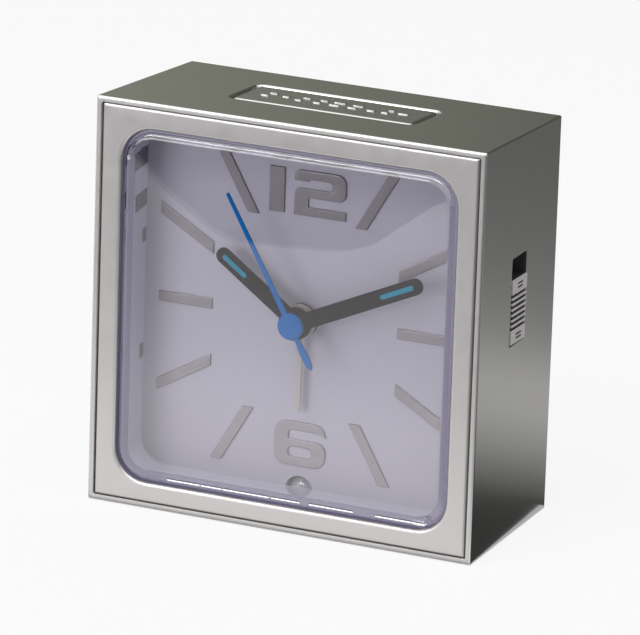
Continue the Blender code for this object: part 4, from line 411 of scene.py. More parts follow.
def build_materials():
    looks = {}
    looks["case"] = surface("case_silver", (0.56, 0.56, 0.55), 0.19, 1.0, grain=9.0, drift=0.012)
    # Painted shade: the same silver as the case, made darker, for the bezel and the case's front
    # rim.
    looks["bezel"] = surface(
        "bezel_silver_painted_shade", (0.335, 0.328, 0.33), 0.36, 1.0, grain=9.0, drift=0.015
    )
    looks["lens"] = surface(
        "clear_acrylic",
        (0.97, 0.965, 0.985),
        0.01,
        grain=0.3,
        drift=0.01,
        IOR=1.6,
        Transmission_Weight=1.0,
    )
    tint_glass(looks["lens"], (0.62, 0.60, 0.82), 45.0)
    # Painted glow: the lens's outer sides are an opaque lilac that glows faintly, though no lamp
    # is there.
    looks["painted_glow_side"] = surface(
        "lens_side_painted_glow", linear(150, 146, 160), 0.45, grain=3.0, drift=0.02
    )
    add_glow(looks["painted_glow_side"], (0.84, 0.80, 1.0), 0.16)
    # Painted highlight: a white that glows, for the bright dashes along the lens's foot.
    looks["painted_glint"] = surface("painted_glint_edge", (0.86, 0.86, 0.88), 0.3, grain=3.0, drift=0.02)
    add_glow(looks["painted_glint"], (1.0, 0.97, 0.95), 0.7)
    # Painted shade: a dark lilac for the painted reflections on the lens's left wall and the dark
    # band above its foot's highlights.
    looks["painted_shade_patch"] = surface("painted_shade_edge", linear(96, 93, 108), 0.45, grain=3.0, drift=0.02)
    # Painted light: a light matt grey on the front of the rebate's walls, where the metal would
    # mirror the dark gap.
    looks["lip"] = surface("sleeve_lip_painted_light", linear(176, 172, 166), 0.5, grain=3.0, drift=0.02)
    # Painted shade: a dark purple for the bezel's window walls, seen in the gap round the lens.
    looks["wall"] = surface("window_wall_painted_shade", linear(110, 104, 132), 0.4, grain=3.0, drift=0.02)
    # Painted shade: near black for the case's cavity, the slider's slot and the rebate's sides.
    looks["shade"] = surface("case_inside_painted_shade", (0.05, 0.05, 0.05), 0.5, 0.5, grain=4.0, drift=0.1)
    looks["dial"] = surface(
        "dial_lilac", linear(161, 158, 172), 0.5, 0.1, grain=5.0, drift=0.02, relief=0.0005
    )
    looks["marker"] = surface(
        "marker_pewter", linear(124, 119, 124), 0.36, 0.5, grain=6.0, drift=0.03, relief=0.0004
    )
    looks["hand"] = surface(
        "hand_graphite", linear(14, 8, 14), 0.5, grain=5.0, relief=0.0005, Specular_IOR_Level=0.0
    )
    looks["lume"] = surface(
        "lume_teal",
        linear(0, 128, 155),
        0.6,
        grain=9.0,
        drift=0.08,
        relief=0.003,
        Specular_IOR_Level=0.0,
    )
    looks["blue"] = surface(
        "second_blue", linear(0, 97, 168), 0.45, grain=5.0, relief=0.0004, Specular_IOR_Level=0.0
    )
    looks["sand"] = surface("alarm_sand", linear(160, 154, 147), 0.4, grain=5.0, relief=0.0005)
    looks["black"] = surface(
        "black_plastic", (0.018, 0.018, 0.019), 0.46, grain=4.0, drift=0.15, relief=0.006
    )
    looks["grey"] = surface("grey_plastic", linear(150, 150, 150), 0.42, grain=4.0, relief=0.003)
    looks["cap"] = surface("cap_plastic", linear(196, 191, 190), 0.4, grain=4.0, relief=0.003)
    looks["white"] = surface(
        "white_plastic", linear(222, 222, 218), 0.5, grain=3.0, drift=0.02, relief=0.003
    )
    looks["steel"] = surface(
        "plated_steel", (0.62, 0.62, 0.63), 0.26, 1.0, grain=3.0, relief=0.002, stretch=(1, 1, 6)
    )
    looks["copper"] = surface(
        "copper_wire",
        (0.72, 0.34, 0.17),
        0.32,
        1.0,
        grain=8.0,
        drift=0.12,
        relief=0.01,
        stretch=(6, 1, 1),
    )
    looks["magnet"] = surface(
        "sintered_magnet", (0.09, 0.09, 0.10), 0.4, 0.7, grain=7.0, relief=0.003
    )
    looks["board"] = surface(
        "board_green", (0.02, 0.16, 0.07), 0.35, grain=2.0, drift=0.2, relief=0.002
    )
    looks["wrap"] = surface(
        "cell_wrap", (0.03, 0.04, 0.07), 0.22, grain=2.0, drift=0.1, relief=0.001
    )
    looks["lamp"] = surface(
        "lamp_epoxy",
        linear(178, 174, 190),
        0.08,
        grain=0.4,
        drift=0.01,
        IOR=1.52,
        Transmission_Weight=0.45,
    )
    return looks


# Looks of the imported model's slots
NODE_LOOKS = {
    "case_metal": "case",
    "bezel_metal": "bezel",
    "clear": "lens",
    "dial_card": "dial",
    "hand_black": "hand",
    "lume_teal": "lume",
    "hand_blue": "blue",
    "hand_sand": "sand",
    "black_plastic": "black",
    "grey_plastic": "grey",
    "white_plastic": "white",
    "steel": "steel",
    "copper": "copper",
    "magnet": "magnet",
    "board": "board",
    "cell_wrap": "wrap",
}


# Outlines: points go clockwise, with angles in degrees clockwise from up


def arc(centre, radius, start, end, steps=STEPS):
    angles = [math.radians(start + (end - start) * k / steps) for k in range(steps + 1)]
    return [(centre[0] + radius * math.sin(a), centre[1] + radius * math.cos(a)) for a in angles]


def circle(radius, centre=(0.0, 0.0), steps=48):
    return arc(centre, radius, 0, 360 * (steps - 1) / steps, steps - 1)


def rounded(left, right, bottom, top, radius, steps=STEPS):
    points = arc((right - radius, top - radius), radius, 0, 90, steps)
    points += arc((right - radius, bottom + radius), radius, 90, 180, steps)
    points += arc((left + radius, bottom + radius), radius, 180, 270, steps)
    return points + arc((left + radius, top - radius), radius, 270, 360, steps)


def at_depth(outline, depth):
    return [(x, FRONT_Y + depth, z) for x, z in outline]


def quarter(radius, steps=4):
    """Inward and backward steps of a quarter round edge, from the face to the side."""
    leans = [math.pi / 2 * k / steps for k in range(steps + 1)]
    return [(radius * (1 - math.sin(a)), radius * (1 - math.cos(a))) for a in leans]


# Meshes


def ringed(rings, closed=False):
    mesh = bmesh.new()
    loops = [[mesh.verts.new(point) for point in ring] for ring in rings]
    pairs = list(zip(loops, loops[1:]))
    if closed:
        pairs.append((loops[-1], loops[0]))
    else:
        mesh.faces.new(loops[0])
        mesh.faces.new(loops[-1])
    for low, high in pairs:
        for k in range(len(low)):
            mesh.faces.new((low[k - 1], low[k], high[k], high[k - 1]))
    bmesh.ops.recalc_face_normals(mesh, faces=mesh.faces)
    return mesh


def turned(profile, centre, axis="Y", steps=48):
    """A round form about an axis through a point, from (radius, distance along the axis) pairs."""
    rings = []
    for radius, along in profile:
        ring = []
        for u, v in circle(radius, steps=steps):
            offset = {"Y": (u, along, v), "Z": (u, v, along)}[axis]
            ring.append([a + b for a, b in zip(centre, offset)])
        rings.append(ring)
    return ringed(rings)


def plate(outlines, front, back, bevel=0.0, steps=2):
    """A flat form between two depths. The first outline is the edge and the rest are holes."""
    curve = bpy.data.curves.new("outline", "CURVE")
    curve.dimensions = "2D"
    curve.fill_mode = "BOTH"
    curve.extrude = (back - front) / 2 - bevel
    curve.bevel_depth = bevel
    curve.bevel_resolution = steps
    curve.offset = -bevel
    for outline in outlines:
        spline = curve.splines.new("POLY")
        spline.points.add(len(outline) - 1)
        spline.use_cyclic_u = True
        for point, (x, z) in zip(spline.points, outline):
            point.co = (x, z, 0.0, 1.0)
    flat = bpy.data.objects.new("outline", curve)
    bpy.context.collection.objects.link(flat)
    whole = flat.evaluated_get(bpy.context.evaluated_depsgraph_get())
    data = bpy.data.meshes.new_from_object(whole)
    bpy.data.objects.remove(flat)
    mesh = bmesh.new()
    mesh.from_mesh(data)
    bmesh.ops.remove_doubles(mesh, verts=mesh.verts, dist=0.0005 * MM)
    middle = FRONT_Y + (front + back) / 2
    mesh.transform(Matrix(((1, 0, 0, 0), (0, 0, -1, middle), (0, 1, 0, 0), (0, 0, 0, 1))))
    bmesh.ops.recalc_face_normals(mesh, faces=mesh.faces)
    return mesh


def merged(meshes):
    whole = bmesh.new()
    for mesh in meshes:
        data = bpy.data.meshes.new("part")
        mesh.to_mesh(data)
        mesh.free()
        whole.from_mesh(data)
    return whole


def about_dial(mesh, turn=0.0):
    """Move a form drawn about the origin to the dial's middle, turned clockwise."""
    mesh.transform(Matrix.Translation((0.0, 0.0, DIAL_Z)) @ Matrix.Rotation(turn, 4, "Y"))
    return mesh


def add_object(name, mesh):
    data = bpy.data.meshes.new(name)
    mesh.to_mesh(data)
    mesh.free()
    obj = bpy.data.objects.new(name, data)
    bpy.context.scene.collection.objects.link(obj)
    return obj


def carve(obj, *tools):
    """Cut closed forms out of an object, and keep the result as its mesh."""
    for number, mesh in enumerate(tools):
        tool = add_object(f"{obj.name}_tool_{number}", mesh)
        modifier = obj.modifiers.new("Cut", "BOOLEAN")
        modifier.operation = "DIFFERENCE"
        modifier.solver = "EXACT"
        modifier.object = tool
        whole = obj.evaluated_get(bpy.context.evaluated_depsgraph_get())
        obj.data = bpy.data.meshes.new_from_object(whole)
        obj.modifiers.clear()
        bpy.data.objects.remove(tool)


def smooth(obj):
    obj.data.shade_smooth()
    obj.data.set_sharp_from_angle(angle=SHARP_ANGLE)
    weights = obj.modifiers.new("Normals", "WEIGHTED_NORMAL")
    weights.keep_sharp = True


def piece(name, mesh, look, body="root", stands_for=(), tools=(), areas=()):
    """Add a piece.

    Each area is another look with a test of a face's middle, and the first that passes counts.
    """
    obj = add_object(name, mesh)
    if tools:
        carve(obj, *tools)
    obj.data.materials.clear()
    for used in (look, *[other for other, _ in areas]):
        obj.data.materials.append(looks[used])
    for face in obj.data.polygons:
        passed = [number for number, (_, test) in enumerate(areas, 1) if test(face.center)]
        face.material_index = passed[0] if passed else 0
    smooth(obj)
    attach(obj, body)
    if stands_for:
        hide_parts(*stands_for)
    return obj


# Case, bezel and lens


def build_case():
    def outer(depth, by):
        side = case_side(depth) - by
        return at_depth(rounded(-side, side, by, case_top(depth) - by, CASE_CORNER, 4), depth)

    def inner(half, low, high, by, depth):
        outline = rounded(-half - by, half + by, low - by, high + by, INNER_CORNER, 4)
        return at_depth(outline, depth)

    def cavity(by, depth):
        return inner(CAVITY_HALF, CAVITY_LOW, CAVITY_HIGH, by, depth)

    def rebate(by, depth):
        return inner(REBATE_HALF, REBATE_LOW, REBATE_HIGH, by, depth)

    rings = [outer(back, by) for by, back in quarter(CASE_EDGE)]
    rings += [outer(CASE_DEPTH - back, by) for by, back in reversed(quarter(CASE_BACK_EDGE))]
    rings.append(cavity(CAVITY_CHAMFER, CASE_DEPTH))
    rings.append(cavity(0.0, CASE_DEPTH - CAVITY_CHAMFER))
    rings.append(cavity(0.0, LEDGE))
    rings.append(rebate(0.0, LEDGE))
    rings.append(rebate(0.0, LIP_DEPTH))
    rings.append(rebate(0.0, REBATE_CHAMFER))
    rings.append(rebate(REBATE_CHAMFER, 0.0))

    def key_hole(by, drop):
        reach = KEY_GAP + by
        half = KEY_HALF + reach
        radius = KEY_RADIUS + reach
        outline = rounded(-half, half, KEY_FRONT - reach, KEY_BACK + reach, radius)
        return [(x, FRONT_Y + depth, case_top(depth) - drop) for x, depth in outline]

    def slot_hole(by, drop):
        near, far = SLOT_FRONT - by, SLOT_BACK + by
        outline = rounded(near, far, SLOT_LOW - by, SLOT_HIGH + by, SLOT_CORNER + by)
        return [(case_side(depth) - drop, FRONT_Y + depth, z) for depth, z in outline]

    tools = []
    for hole, radius in ((key_hole, KEY_HOLE_EDGE), (slot_hole, SLOT_EDGE)):
        levels = [(0.0, HOLE_DEPTH), *reversed(quarter(radius, 5))]
        levels.append((radius + TOOL_RISE, -TOOL_RISE))
        tools.append(ringed([hole(by, drop) for by, drop in levels]))

    def beside(spot):
        at_wall = abs(abs(spot.x) - REBATE_HALF) < WIDE_SLACK
        return at_wall and REBATE_LOW < spot.z < REBATE_HIGH

    # Painted shade: the case's front rim takes the bezel's darker silver.
    def rim(spot):
        return spot.y < FRONT_Y + SLACK

    # Painted light on the front of the rebate's side and bottom walls.
    def lip(spot):
        below = abs(spot.z - REBATE_LOW) < SLACK and abs(spot.x) < REBATE_HALF
        return spot.y < FRONT_Y + LIP_DEPTH and (beside(spot) or below)

    # Painted shade on the faces inside the case, the slot and the rebate's sides.
    def painted_shade_faces(spot):
        depth = spot.y - FRONT_Y
        if depth > CASE_DEPTH - BACK_RIM:
            return False
        if depth < LEDGE + SLACK:
            return beside(spot)
        if (
            SLOT_FRONT - SLACK < depth < SLOT_BACK + SLACK
            and SLOT_LOW - SLACK < spot.z < SLOT_HIGH + SLACK
            and 0 < spot.x < case_side(SLOT_BACK)
        ):
            return True
        within = abs(spot.x) < CAVITY_HALF + SLACK
        return within and CAVITY_LOW - SLACK < spot.z < CAVITY_HIGH + SLACK

    piece(
        "case_sleeve",
        ringed(rings, closed=True),
        "case",
        stands_for=["case_shell"],
        tools=tools,
        areas=(("bezel", rim), ("lip", lip), ("shade", painted_shade_faces)),
    )


def build_bezel():
    def outer(by, depth):
        half = BEZEL_HALF - by
        corner = BEZEL_CORNER - by / 2
        return at_depth(rounded(-half, half, BEZEL_LOW + by, BEZEL_HIGH - by, corner), depth)

    def window(by, depth):
        half = WINDOW_HALF + by
        outline = rounded(-half, half, WINDOW_LOW - by, WINDOW_HIGH + by, WINDOW_RADIUS + by)
        return at_depth(outline, depth)

    rings = [outer(0.0, BEZEL_THICK)]
    rings += [outer(by, depth) for by, depth in reversed(quarter(BEZEL_EDGE))]
    rings += [window(by, depth) for by, depth in quarter(WINDOW_LIP, 7)]
    rings.append(window(0.0, BEZEL_THICK))

    # Painted shade on the window's walls behind the lip.
    def wall(spot):
        across = abs(spot.x) - WINDOW_HALF
        upright = abs(spot.z - WINDOW_MIDDLE) - (WINDOW_HIGH - WINDOW_MIDDLE)
        near_window = max(across, upright) < 2 * WIDE_SLACK
        return near_window and WINDOW_LIP < spot.y - FRONT_Y < BEZEL_THICK - SLACK

    piece(
        "bezel_frame",
        ringed(rings, closed=True),
        "bezel",
        stands_for=["front_bezel"],
        areas=(("wall", wall),),
    )
    profile = [
        (POST_RADIUS, POST_FRONT),
        (POST_RADIUS, POST_BACK),
        (POST_BORE, POST_BACK),
        (POST_BORE, POST_FLOOR),
    ]
    posts = []
    for x in (POST_INSET - CAVITY_HALF, CAVITY_HALF - POST_INSET):
        for z in (CAVITY_LOW + POST_INSET, CAVITY_HIGH - POST_INSET):
            posts.append(turned(profile, (x, FRONT_Y, z), steps=24))
    piece("bezel_posts", merged(posts), "bezel")


def build_lens():
    def box(by, depth, lift=0.0):
        """A ring round the lens, with points where its painted highlights and painted dark patches
        end.
        """
        half = WINDOW_HALF - LENS_GAP - by
        low = WINDOW_LOW + LENS_GAP + by
        high = WINDOW_HIGH - LENS_GAP - by + lift
        turns = rounded(-half, half, low, high, WINDOW_RADIUS - LENS_GAP - by, LENS_STEPS)
        foot = [(x * MM, low) for stretch in reversed(PAINTED_FOOT_GLINTS) for x in reversed(stretch)]
        left = [(-half, z * MM) for painted_shade_patch in PAINTED_WALL_SHADES for z in painted_shade_patch[:2]]
        second, third = 2 * (LENS_STEPS + 1), 3 * (LENS_STEPS + 1)
        return at_depth(turns[:second] + foot + turns[second:third] + left + turns[third:], depth)

    rings = [box(by, LENS_FRONT + back) for by, back in quarter(LENS_EDGE, LENS_STEPS)]
    rings.append(box(0.0, LENS_BACK))
    rings.append(box(LENS_WALL_BACK, LENS_BACK))
    inside = LENS_FRONT + LENS_PLATE + LENS_INNER_EDGE
    lift = LENS_WALL_FRONT - LENS_WALL_TOP
    for level in LENS_LEVELS:
        share = (LENS_BACK - level * MM) / (LENS_BACK - inside)
        by = LENS_WALL_BACK + share * (LENS_WALL_FRONT - LENS_WALL_BACK)
        rings.append(box(by, level * MM, share * lift))
    for by, back in reversed(quarter(LENS_INNER_EDGE, 3)):
        rings.append(box(LENS_WALL_FRONT + by, LENS_FRONT + LENS_PLATE + back, lift))

    # The faces that pass this test take the painted glow of the lens's sides.
    def outside(spot):
        depth = spot.y - FRONT_Y
        if depth > LENS_BACK - SLACK:
            return True
        across = abs(spot.x) - WINDOW_HALF
        upright = abs(spot.z - WINDOW_MIDDLE) - (WINDOW_HIGH - WINDOW_MIDDLE)
        corner = math.hypot(max(0.0, across + WINDOW_RADIUS), max(0.0, upright + WINDOW_RADIUS))
        reach = max(across, upright, corner - WINDOW_RADIUS)
        start = LENS_FRONT + LENS_SIDE_START * LENS_EDGE
        return depth > start and reach > -LENS_GAP - LENS_SIDE_REACH

    # Painted highlight and painted shade bands along the lens's foot.
    def foot(spot, low, high):
        share = (spot.z - WINDOW_LOW - LENS_GAP) / LENS_EDGE
        lit = any(left < spot.x / MM < right for left, right in PAINTED_FOOT_GLINTS)
        return lit and low < share < high and spot.y < FRONT_Y + LENS_FRONT + LENS_EDGE / 2

    # Painted reflections as dark patches on the lens's left inner wall.
    def painted_shade_patch(spot):
        across = spot.x + WINDOW_HALF - LENS_GAP
        if not LENS_WALL_BACK / 2 < across < LENS_WALL_FRONT + SLACK:
            return False
        z = spot.z / MM
        depth = (spot.y - FRONT_Y) / MM
        return any(low < z < high and near < depth < far for low, high, near, far in PAINTED_WALL_SHADES)

    areas = (
        ("painted_glint", lambda spot: foot(spot, *PAINTED_GLINT_BAND)),
        ("painted_shade_patch", lambda spot: foot(spot, *PAINTED_DARK_BAND)),
        ("painted_shade_patch", painted_shade_patch),
        ("painted_glow_side", outside),
    )
    lens = piece("lens_box", ringed(rings), "lens", stands_for=["lens"], areas=areas)
    lens.visible_shadow = False
    lens.visible_diffuse = False


# Dial and lamp


def hour_bar(hour):
    bearing = math.radians(30 * hour)
    across = math.sin(bearing)
    up = math.cos(bearing)
    reach = max(abs(across), abs(up))
    half = BAR_WIDTH / 2 / reach
    dx, dz = (0.0, half) if abs(across) > abs(up) else (half, 0.0)
    points = []
    for square, side in ((BAR_INNER, -1), (BAR_OUTER, -1), (BAR_OUTER, 1), (BAR_INNER, 1)):
        points.append((across * square / reach + side * dx, up * square / reach + side * dz))
    return points


def numeral_two(left, bottom):
    w = NUMERAL_WIDTH
    h = NUMERAL_HEIGHT
    waist = (h + STROKE) / 2
    big = STROKE * 1.1
    small = STROKE * 0.4
    points = [(0, 0), *arc((big * 0.7, waist - big * 0.7), big * 0.7, 270, 360)]
    points += arc((w - STEM - small, waist + small), small, 180, 90)
    points += arc((w - STEM - small, h - STROKE - small), small, 90, 0)
    points += [(STEM, h - STROKE), (STEM, h - STROKE * 1.25), (0, h - STROKE * 1.25)]
    points += arc((big * 0.7, h - big * 0.7), big * 0.7, 270, 360)
    points += arc((w - big, h - big), big, 0, 90)
    points += arc((w - big * 0.8, waist - STROKE + big * 0.8), big * 0.8, 90, 180)
    points += [(STEM, waist - STROKE), (STEM, STROKE), (w, STROKE), (w, 0)]
    return [(left + x, bottom + z) for x, z in points]


def numeral_six(left, bottom):
    w = NUMERAL_WIDTH
    h = NUMERAL_HEIGHT
    low = STROKE + SIX_BOWL
    high = low + SIX_WAIST
    big = STROKE * 1.4
    small = STROKE * 0.4
    points = arc((big, h - big), big, 270, 360)
    points += arc((w - big, h - big), big, 0, 80)
    points += [(w, h - STROKE * 1.4), (w - STEM * 0.45, h - STROKE)]
    points += arc((STEM + small, h - STROKE - small), small, 0, -90)
    points += [(STEM, high), (w - big * 0.8, high)]
    points += arc((w - big * 0.8, high - big * 0.8), big * 0.8, 15, 90)
    points += arc((w - big, big), big, 90, 180)
    points += arc((big, big), big, 180, 270)
    hole = rounded(STEM, w - STEM, STROKE, low, small * 1.2)
    return [[(left + x, bottom + z) for x, z in outline] for outline in (points, hole)]


def build_dial():
    half = WINDOW_HALF - DIAL_GAP
    low = WINDOW_LOW + DIAL_GAP
    edge = rounded(-half, half, low, WINDOW_HIGH - DIAL_GAP, DIAL_CORNER)
    arch = LAMP_RADIUS + ARCH_SIDE_GAP
    middle = LAMP_TOP + ARCH_TOP_GAP - arch
    reach = math.degrees(math.acos((low - middle) / arch))
    turn = 2 * (STEPS + 1)
    notch = arc((0.0, middle), arch, reach, -reach, 24)
    outline = edge[:turn] + notch + edge[turn:]
    hole = circle(DIAL_HOLE, (0.0, DIAL_Z))
    card = plate([outline, hole], DIAL_DEPTH, DIAL_DEPTH + DIAL_THICK, DIAL_BEVEL)
    piece("dial_face", card, "dial", stands_for=["dial_plate"])

    left = -(ONE_WIDTH + NUMERAL_SPACE + NUMERAL_WIDTH) / 2
    right = left + ONE_WIDTH
    top = TWELVE_BOTTOM + NUMERAL_HEIGHT
    shapes = [[hour_bar(hour)] for hour in range(1, 12) if hour != 6]
    shapes.append([[(left, TWELVE_BOTTOM), (left, top), (right, top), (right, TWELVE_BOTTOM)]])
    shapes.append([numeral_two(right + NUMERAL_SPACE, TWELVE_BOTTOM)])
    shapes.append(numeral_six(-NUMERAL_WIDTH / 2, SIX_BOTTOM))
    front = DIAL_DEPTH - MARKER_HEIGHT
    back = DIAL_DEPTH + MARKER_SINK
    raised = [plate(outlines, front, back, MARKER_BEVEL) for outlines in shapes]
    piece("dial_markers", about_dial(merged(raised)), "marker")


def build_lamp():
    dome = LAMP_TOP - LAMP_RADIUS
    flange = LAMP_RADIUS + LAMP_FLANGE
    edge = LAMP_FLANGE_EDGE
    top = LAMP_SEAT + LAMP_FLANGE_HEIGHT
    profile = [(flange - edge, LAMP_SEAT), (flange, LAMP_SEAT + edge), (flange, top - edge)]
    profile += [(flange - edge, top), (LAMP_RADIUS, top + edge / 2)]
    for k in range(12):
        lean = math.radians(90 - 88 * k / 11)
        profile.append((LAMP_RADIUS * math.sin(lean), dome + LAMP_RADIUS * math.cos(lean)))
    y = FRONT_Y + LAMP_DEPTH
    body = turned(profile, (0.0, y, 0.0), "Z")
    lamp = piece("lamp_body", body, "lamp", stands_for=["dial_lamp"])
    lamp.visible_shadow = False
    leads = []
    for lead, x, steps in ((LAMP_CUP, LAMP_CUP_X, 24), (LAMP_POST, LAMP_POST_X, 16)):
        sized = [(radius * MM, height * MM) for radius, height in lead]
        leads.append(turned(sized, (x, y, 0.0), "Z", steps))
    piece("lamp_leads", merged(leads), "steel")


# Hands


def hand_outline(length, width, disc, tip_width, tail=()):
    """A blade from a disc to a round tip. A tail is a list of its half widths and distances."""
    tip = tip_width / 2
    start = math.degrees(math.asin(width / 2 / disc))
    end = arc((0.0, length - tip), tip, -90, 90, 12)
    if not tail:
        return arc((0.0, 0.0), disc, start, 360 - start, 48) + end
    tail_start = math.degrees(math.asin(tail[0][0] / disc))
    points = arc((0.0, 0.0), disc, start, 180 - tail_start, 24)
    points += [(half, -reach) for half, reach in tail[1:]]
    points += [(-half, -reach) for half, reach in reversed(tail[1:])]
    return points + arc((0.0, 0.0), disc, 180 + tail_start, 360 - start, 24) + end


def build_hands():
    def broad(body, length, width, depth, bore, turn, hub, look, slot):
        disc, flange, reach = hub
        hole = circle(bore + HAND_SLACK)
        blade = [hand_outline(length, width, disc, width), hole]
        flat = plate(blade, depth - HAND_HALF, depth + HAND_HALF, HAND_BEVEL)
        front = depth + HAND_HALF - SLACK
        back = plate([circle(flange), hole], front, depth + HAND_HALF + reach, HUB_BEVEL)
        shape = about_dial(merged([flat, back]), turn)
        behind = FRONT_Y + front + 2 * SLACK
        areas = (("hand", lambda spot: spot.y > behind),)
        piece(f"{body}_blade", shape, look, body, [f"{body}_hand"], areas=areas)

    def lume(body, ends, depth, turn):
        outline = rounded(-LUME_HALF, LUME_HALF, *ends, LUME_CORNER)
        face = depth - HAND_HALF - LUME_RISE
        form = about_dial(plate([outline], face - LUME_THICK, face, LUME_BEVEL), turn)
        piece(f"{body}_strip", form, "lume", body, [f"{body}_lume"])

    dark = (HAND_HUB, "hand", "hand_black")
    sand = (ALARM_HUB, "sand", "hand_sand")
    broad("minute", MINUTE_LENGTH, HAND_WIDTH, MINUTE_DEPTH, MINUTE_BORE, MINUTE_TURN, *dark)
    broad("hour", HOUR_LENGTH, HAND_WIDTH, HOUR_DEPTH, HOUR_BORE, HOUR_TURN, *dark)
    broad("alarm", ALARM_LENGTH, ALARM_WIDTH, ALARM_DEPTH, ALARM_BORE, ALARM_TURN, *sand)
    lume("minute", MINUTE_STRIP, MINUTE_DEPTH, MINUTE_TURN)
    lume("hour", HOUR_STRIP, HOUR_DEPTH, HOUR_TURN)

    tail = [(half * MM, reach * MM) for half, reach in SECOND_TAIL]
    outline = hand_outline(SECOND_LENGTH, SECOND_WIDTH, SECOND_DISC, SECOND_TIP, tail)
    blade = plate([outline], SECOND_DEPTH - HAND_HALF, SECOND_DEPTH + HAND_HALF, HAND_BEVEL)
    middle = FRONT_Y + SECOND_DEPTH
    side = middle - SECOND_CAP_SIDE
    dome = [(SECOND_CAP, middle), (SECOND_CAP, side)]
    for k in range(1, 9):
        lean = math.radians(90 * k / 9)
        dome.append((SECOND_CAP * math.cos(lean), side - SECOND_CAP_DOME * math.sin(lean)))
    back = middle + SECOND_BOSS
    edge = SECOND_BOSS_EDGE
    boss = [(SECOND_CAP, middle), (SECOND_CAP, back - edge), (SECOND_CAP - edge, back)]
    turnings = [turned(profile, (0.0, 0.0, 0.0), steps=64) for profile in (dome, boss)]
    hand = about_dial(merged([blade, *turnings]), SECOND_TURN)
    behind = middle + HAND_HALF + SLACK
    areas = (("hand", lambda spot: spot.y > behind),)
    piece("second_blade", hand, "blue", "second", ["second_hand"], areas=areas)


# Snooze bar and alarm slider


def build_snooze():
    def level(by, height):
        half = KEY_HALF - by
        outline = rounded(-half, half, KEY_FRONT + by, KEY_BACK - by, KEY_RADIUS - by)
        return [(x, FRONT_Y + depth, height(depth)) for x, depth in outline]

    flange_top = CAVITY_HIGH - KEY_FLANGE_GAP
    flange_low = flange_top - KEY_FLANGE
    rings = [level(-KEY_LAP, lambda depth: flange_low), level(-KEY_LAP, lambda depth: flange_top)]
    rings.append(level(0.0, lambda depth: flange_top))
    for by, back in reversed(quarter(KEY_EDGE, 5)):
        rings.append(level(by, lambda depth, back=back: case_top(depth) - KEY_SET - back))
    profile = [(STEM_RADIUS, STEM_LOW), (STEM_RADIUS, flange_low + STEM_SINK)]
    stem = turned(profile, (0.0, FRONT_Y + KEY_MIDDLE, 0.0), "Z", 24)
    key = merged([ringed(rings), stem])
    piece("snooze_key", key, "case", "snooze", ["snooze_bar"])
    dashes = []
    for left, right, near, far in SNOOZE_MARKS:
        rings = []
        for by, rise in DASH_STEPS:
            edges = [value * MM for value in (left + by, right - by, near + by, far - by)]
            outline = rounded(*edges, DASH_CORNER - by * MM, 4)
            rings.append([(u, FRONT_Y + v, case_top(v) - KEY_SET + rise * MM) for u, v in outline])
        dashes.append(ringed(rings))
    piece("snooze_marks", merged(dashes), "bezel", "snooze")


def build_springs():
    """Coil springs under the snooze bar, carried by the bar's body, each with a mesh of its own.
    """
    middle = FRONT_Y + KEY_MIDDLE
    count = COIL_TURNS * COIL_STEPS
    low = COIL_LOW + COIL_WIRE
    high = COIL_HIGH - COIL_WIRE
    for name, side in (("left", -1), ("right", 1)):
        x = side * COIL_OFFSET
        rings = []
        for k in range(count + 1):
            turn = 2 * math.pi * k / COIL_STEPS
            u, v = math.cos(turn), math.sin(turn)
            rise = low + (high - low) * k / count
            ring = [(COIL_RADIUS + out, rise + up) for out, up in circle(COIL_WIRE, steps=8)]
            rings.append([(x + reach * u, middle + reach * v, z) for reach, z in ring])
        node = f"snooze_spring_{name}"
        coil = piece(f"snooze_coil_{name}", ringed(rings), "steel", "snooze", [node])
        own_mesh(coil)


